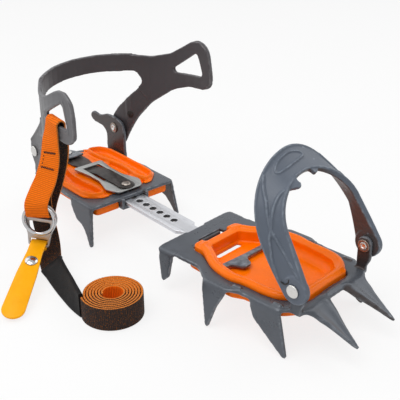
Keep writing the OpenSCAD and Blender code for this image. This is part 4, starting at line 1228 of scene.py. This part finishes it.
class CRAMPON_OT_rivets(bpy.types.Operator):
    """Turned rivets, washers and the lock pin"""

    bl_idname = "crampon.rivets"
    bl_label = "Rivets and Washers"

    WASHER = ((3.03, -1.1), (3.2, -1.2), (4.3, -1.2), (4.5, -1.0), (4.5, -0.1), (4.4, 0.0), (3.03, 0.0),
              (3.03, -1.1))

    def execute(self, context):
        for name, space, pivot, ear_in, seat, body, nodes in (
                ("heel_pivot", bar_space(), HEEL_PIVOT, 37.0, 44.4, "heel_frame",
                 ("heel_rivets", "heel_washers")),
                ("toe_pivot", front_space(), TOE_PIVOT, 35.0, 43.5, "front_frame",
                 ("toe_rivets", "toe_washers"))):
            rivets = bmesh.new()
            washers = bmesh.new()
            for sign in SIDES:
                profile = self.pivot_rivet(ear_in - 1.6 - seat)
                turned(rivets, profile, space @ along_y(*pivot, sign * seat, sign))
                turned(washers, self.WASHER, space @ along_y(*pivot, sign * ear_in, sign))
            for bm, kind, finish, node, slot in (
                    (rivets, "_rivets", "rivet steel", nodes[0], "bright_steel"),
                    (washers, "_washers", "copper washer", nodes[1], "copper_washer")):
                add_piece(bm, name + kind, body, [steel(finish)], [node], 30.0)
        for name, node, body, finish, x, foot, head, r_head in (
                ("clamp_rivet_head", "clamp_rivet", "heel_frame", "rivet steel", -100.0, 30.8, 38.05, 4.0),
                ("lock_pin_head", "lock_pin", "lock", "pin steel", -10.1, 27.7, 39.05, 3.7)):
            bm = bmesh.new()
            turned(bm, self.headed_pin(foot, head, 2.5, r_head), bar_space() @ Matrix.Translation((x, 0, 0)))
            add_piece(bm, name, body, [steel(finish)], [node], 30.0)
        return {"FINISHED"}

    def pivot_rivet(self, tail):
        """Profile of a pivot rivet from its rolled tail to its low head, which seats at nought."""
        return ((0.0, tail + 0.5), (1.2, tail + 0.5), (1.6, tail + 0.1), (2.2, tail), (2.8, tail + 0.3),
                (3.0, tail + 0.8), (3.0, 0.0), (4.4, 0.0), (4.5, 0.2), (4.5, 0.75), (4.1, 1.12), (3.0, 1.26),
                (0.0, 1.3))

    def headed_pin(self, foot, head, shank, wide):
        """Profile of a pin from its foot to its domed head."""
        return ((0.0, foot), (shank - 0.4, foot), (shank, foot + 0.4), (shank, head), (wide - 0.1, head),
                (wide, head + 0.15), (wide, head + 0.5), (wide - 0.6, head + 1.1), (wide - 1.6, head + 1.4),
                (0.0, head + 1.45))


class CRAMPON_OT_strap(bpy.types.Operator):
    """Hanging strap, its tail, the sleeve and the roll"""

    bl_idname = "crampon.strap"
    bl_label = "Strap"

    # Height and ends of each bar tack, and the row of stitches between them
    TACKS = ((92.0, -5.8, 6.2), (81.8, -6.4, 5.6))
    STITCHES = (90.0, 88.0, 86.0, 84.0)
    STITCH_ROW = -5.6

    def execute(self, context):
        strap = context.scene.crampon_strap
        half_w = strap.width / MM / 2
        half_t = strap.thickness / MM / 2
        section = round_section(half_w, half_t, 0.45, 3)
        hold = (bar_space() @ Vector((-1, -70, 104)), bar_space() @ Vector((3, -84, 62)))
        bm = bmesh.new()
        stations, lengths = band_stations(sleeve_route())
        sweep(bm, round_section(half_w + 1.0, half_t + 0.8, 1.2, 4), stations, lengths)
        sleeve = add_piece(bm, "strap_sleeve_tube", "heel_frame", [coat("sleeve cloth")], ["strap_sleeve"],
                           60.0)
        tacks = self.tacks(half_t, hold)
        for name, node, slot, route, face, sewn in (
                ("strap_front_band", "strap_front", "orange_webbing", front_route(), 1.0, tacks),
                ("strap_tail_band", "strap_tail", "black_webbing", tail_route(), -1.0, sleeve)):
            bm = bmesh.new()
            stations, lengths = band_stations(route)
            sweep(bm, section, stations, lengths, face)
            obj = add_piece(bm, name, None, [strap_webbing()], [node], 50.0)
            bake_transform(obj, "heel_cradle", "heel_frame", start=hold[0], end=hold[1])
        bm = bmesh.new()
        stations, lengths = band_stations(roll_route())
        sweep(bm, section, stations, lengths, -1.0)
        obj = add_piece(bm, "strap_roll_band", "heel_frame", [strap_webbing()], ["strap_roll"],
                        50.0)
        return {"FINISHED"}

    def tacks(self, half_t, hold):
        """Two zigzag bar tacks and a row of stitches that close the strap's loop under the ring."""
        route = [q for q in front_route() if q[1] < -69.5 and 75.0 < q[2] < 104.0]
        stations = band_stations(route)[0]
        threads = []
        for z, left, right in self.TACKS:
            zigzag = [(left + (right - left) * k / 16, 0.12, 0.55 if k % 2 else -0.55) for k in range(17)]
            threads.append((z, 0.42, zigzag))
        for z in self.STITCHES:
            threads.append((z, 0.32, [(self.STITCH_ROW, 0.1, t) for t in (-0.7, 0.0, 0.7)]))
        bm = bmesh.new()
        for z, radius, thread in threads:
            place = stations[min(range(len(route)), key=lambda k: abs(route[k][2] - z))]
            points = [place @ Vector((u, half_t + out, t)) / MM for u, out, t in thread]
            bead(bm, points, radius, Matrix.Scale(MM, 4), 0)
        obj = add_piece(bm, "strap_bar_tacks", None, [coat("bar tack thread")], ())
        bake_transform(obj, "heel_cradle", "heel_frame", start=hold[0], end=hold[1])
        return obj


class CRAMPON_OT_buckle(bpy.types.Operator):
    """Buckle plate, loose ring, pull tab and its snap rivet"""

    bl_idname = "crampon.buckle"
    bl_label = "Buckle"

    # Radius of the ring and of its wire, and how far it lies before the plate
    RING_RADIUS = 11.7
    RING_WIRE = 1.5
    RING_FORWARD = -1.9
    # Place of the snap rivet along the tab, and its profile
    SNAP_AT = -21.0
    SNAP = ((0.0, 1.8), (2.0, 1.8), (2.0, 3.9), (4.6, 3.9), (4.8, 4.1), (4.7, 4.5), (4.2, 4.95), (3.2, 5.3),
            (1.8, 5.55), (0.0, 5.65))

    def execute(self, context):
        chrome = steel("buckle chrome")
        amber = coat("amber tab plastic", colour=context.scene.crampon_plastic.amber)
        bm = cad_bmesh("buckle_plate")
        ease_edges(bm, 0.35)
        add_piece(bm, "buckle_plate_stamping", "buckle_plate", [steel("satin buckle plate")],
                  ["buckle_plate"])
        add_piece(self.ring(), "buckle_ring_wire", "buckle_ring", [chrome], ["buckle_ring"])
        bm = cad_bmesh("pull_tab")
        ease_edges(bm, 0.5)
        add_piece(bm, "pull_tab_tongue", "pull_tab", [amber], ["pull_tab"])
        bm = bmesh.new()
        turned(bm, self.SNAP, tab_space() @ Matrix.Translation((0, self.SNAP_AT, 0)))
        add_piece(bm, "tab_snap_rivet", "pull_tab", [chrome], ["tab_rivet"], 30.0)
        return {"FINISHED"}

    def ring(self):
        """The loose ring of round wire, upright before the plate."""
        bm = bmesh.new()
        angles = [math.tau * i / 16 for i in range(16)]
        wire_ring = [bm.verts.new((self.RING_RADIUS + self.RING_WIRE * math.cos(a), 0.0,
                                   self.RING_WIRE * math.sin(a))) for a in angles]
        edges = [bm.edges.new((wire_ring[i], wire_ring[(i + 1) % 16])) for i in range(16)]
        bmesh.ops.spin(bm, geom=wire_ring + edges, cent=(0, 0, 0), axis=(0, 0, 1), angle=math.tau, steps=64,
                       use_merge=True)
        bmesh.ops.recalc_face_normals(bm, faces=bm.faces)
        upright = Matrix.Translation((0.0, self.RING_FORWARD, RING_Z)) @ rotation(90.0, "X")
        bmesh.ops.transform(bm, matrix=buckle_space() @ upright, verts=bm.verts)
        return bm


class CRAMPON_OT_stage(bpy.types.Operator):
    """Pale floor, white surroundings, soft lamps and the camera"""

    bl_idname = "crampon.stage"
    bl_label = "Stage"

    # Each lamp's name, place, size in metres and power in watts, and where all of them point
    LAMPS = (("key lamp", (0.1, -0.5, 1.2), 0.9, 9.0), ("fill lamp", (-0.9, -0.4, 0.8), 1.0, 3.0),
             ("back lamp", (0.2, 0.9, 0.9), 0.9, 3.5))
    LAMP_TARGET = Vector((0.0, 0.0, 0.05))
    # Camera: its place, its azimuth, elevation and roll in degrees, its lens and its sideways shift
    CAMERA_AT = (0.444612, -0.35479, 0.334585)
    CAMERA_ANGLES = (49.5525, 26.486, -0.444)
    CAMERA_LENS = 75.16
    CAMERA_SHIFT = -0.0145

    def execute(self, context):
        scene = context.scene
        scene.view_settings.view_transform = "Standard"
        self.floor()
        self.world(scene)
        self.lamps(scene)
        self.camera(scene)
        return {"FINISHED"}

    def seen_directly(self, tree):
        """One where a camera, mirror or glass ray looks, and nought where light bounces."""
        path = tree.nodes.new("ShaderNodeLightPath").outputs
        first = maths(tree, "MAXIMUM", path["Is Camera Ray"], path["Is Glossy Ray"])
        return maths(tree, "MAXIMUM", first, path["Is Transmission Ray"])

    def floor(self):
        bm = bmesh.new()
        bmesh.ops.create_grid(bm, x_segments=8, y_segments=8, size=3.0)
        bmesh.ops.translate(bm, verts=bm.verts, vec=(0.0, 0.0, -0.0006))
        material, tree, shader = new_material("pale floor", 0.9, specular=0.2)
        shader.inputs["Base Color"].default_value = (0.86, 0.86, 0.86, 1.0)
        glow = wire(tree, "Emission", Color=(1.0, 1.0, 1.0, 1.0))
        share = maths(tree, "MULTIPLY", self.seen_directly(tree), 0.8)
        mix = wire(tree, "MixShader", share, shader.outputs["BSDF"], glow.outputs["Emission"])
        tree.links.new(mix.outputs["Shader"], tree.nodes["Material Output"].inputs["Surface"])
        add_piece(bm, "floor", None, [material])

    def world(self, scene):
        world = bpy.data.worlds.new("white studio")
        scene.world = world
        world.use_nodes = True
        tree = world.node_tree
        light = tree.nodes["Background"]
        light.inputs["Color"].default_value = (1.0, 1.0, 1.0, 1.0)
        light.inputs["Strength"].default_value = 0.45
        white = wire(tree, "Background", Color=(0.88, 0.88, 0.88, 1.0))
        mix = wire(tree, "MixShader", self.seen_directly(tree), light.outputs["Background"],
                   white.outputs["Background"])
        tree.links.new(mix.outputs["Shader"], tree.nodes["World Output"].inputs["Surface"])

    def lamps(self, scene):
        for name, place, size, watts in self.LAMPS:
            data = bpy.data.lights.new(name, "AREA")
            data.energy = watts
            data.size = size
            lamp = bpy.data.objects.new(name, data)
            lamp.location = place
            lamp.rotation_euler = (self.LAMP_TARGET - Vector(place)).to_track_quat("-Z", "Y").to_euler()
            scene.collection.objects.link(lamp)

    def camera(self, scene):
        data = bpy.data.cameras.new("photo camera")
        data.sensor_width = 36.0
        data.lens = self.CAMERA_LENS
        data.shift_x = self.CAMERA_SHIFT
        camera = bpy.data.objects.new("photo camera", data)
        azimuth, elevation, roll = (math.radians(a) for a in self.CAMERA_ANGLES)
        right = Vector((math.cos(azimuth), math.sin(azimuth), 0.0))
        look = Vector((-math.sin(azimuth) * math.cos(elevation), math.cos(azimuth) * math.cos(elevation),
                       -math.sin(elevation)))
        up = right.cross(look)
        side = right * math.cos(roll) + up * math.sin(roll)
        top = up * math.cos(roll) - right * math.sin(roll)
        camera.matrix_world = placing(side, top, -look, self.CAMERA_AT)
        scene.collection.objects.link(camera)
        scene.camera = camera


PIECES = (CRAMPON_OT_stage, CRAMPON_OT_strap, CRAMPON_OT_front_frame, CRAMPON_OT_heel_frame,
          CRAMPON_OT_anti_ball_plates, CRAMPON_OT_toe_cage, CRAMPON_OT_heel_cradle, CRAMPON_OT_bar_and_lock,
          CRAMPON_OT_rivets, CRAMPON_OT_buckle)


class CRAMPON_PT_build(bpy.types.Panel):
    """Lists the crampon's pieces"""

    bl_idname = "CRAMPON_PT_build"
    bl_label = "Strap Crampon"
    bl_space_type = "VIEW_3D"
    bl_region_type = "UI"
    bl_category = "Crampon"

    def draw(self, context):
        for piece in PIECES:
            self.layout.operator(piece.bl_idname)


CLASSES = (CramponSteel, CramponPlastic, CramponStrap, *PIECES, CRAMPON_PT_build)


def register():
    for item in CLASSES:
        bpy.utils.register_class(item)
    bpy.types.Scene.crampon_steel = bpy.props.PointerProperty(type=CramponSteel)
    bpy.types.Scene.crampon_plastic = bpy.props.PointerProperty(type=CramponPlastic)
    bpy.types.Scene.crampon_strap = bpy.props.PointerProperty(type=CramponStrap)


def unregister():
    del bpy.types.Scene.crampon_strap
    del bpy.types.Scene.crampon_plastic
    del bpy.types.Scene.crampon_steel
    for item in reversed(CLASSES):
        bpy.utils.unregister_class(item)


def main():
    register()
    bpy.ops.crampon.stage()
    bpy.ops.crampon.strap()
    bpy.ops.crampon.front_frame()
    bpy.ops.crampon.heel_frame()
    bpy.ops.crampon.anti_ball_plates()
    bpy.ops.crampon.toe_cage()
    bpy.ops.crampon.heel_cradle()
    bpy.ops.crampon.bar_and_lock()
    bpy.ops.crampon.rivets()
    bpy.ops.crampon.buckle()


if __name__ == "__main__":
    main()
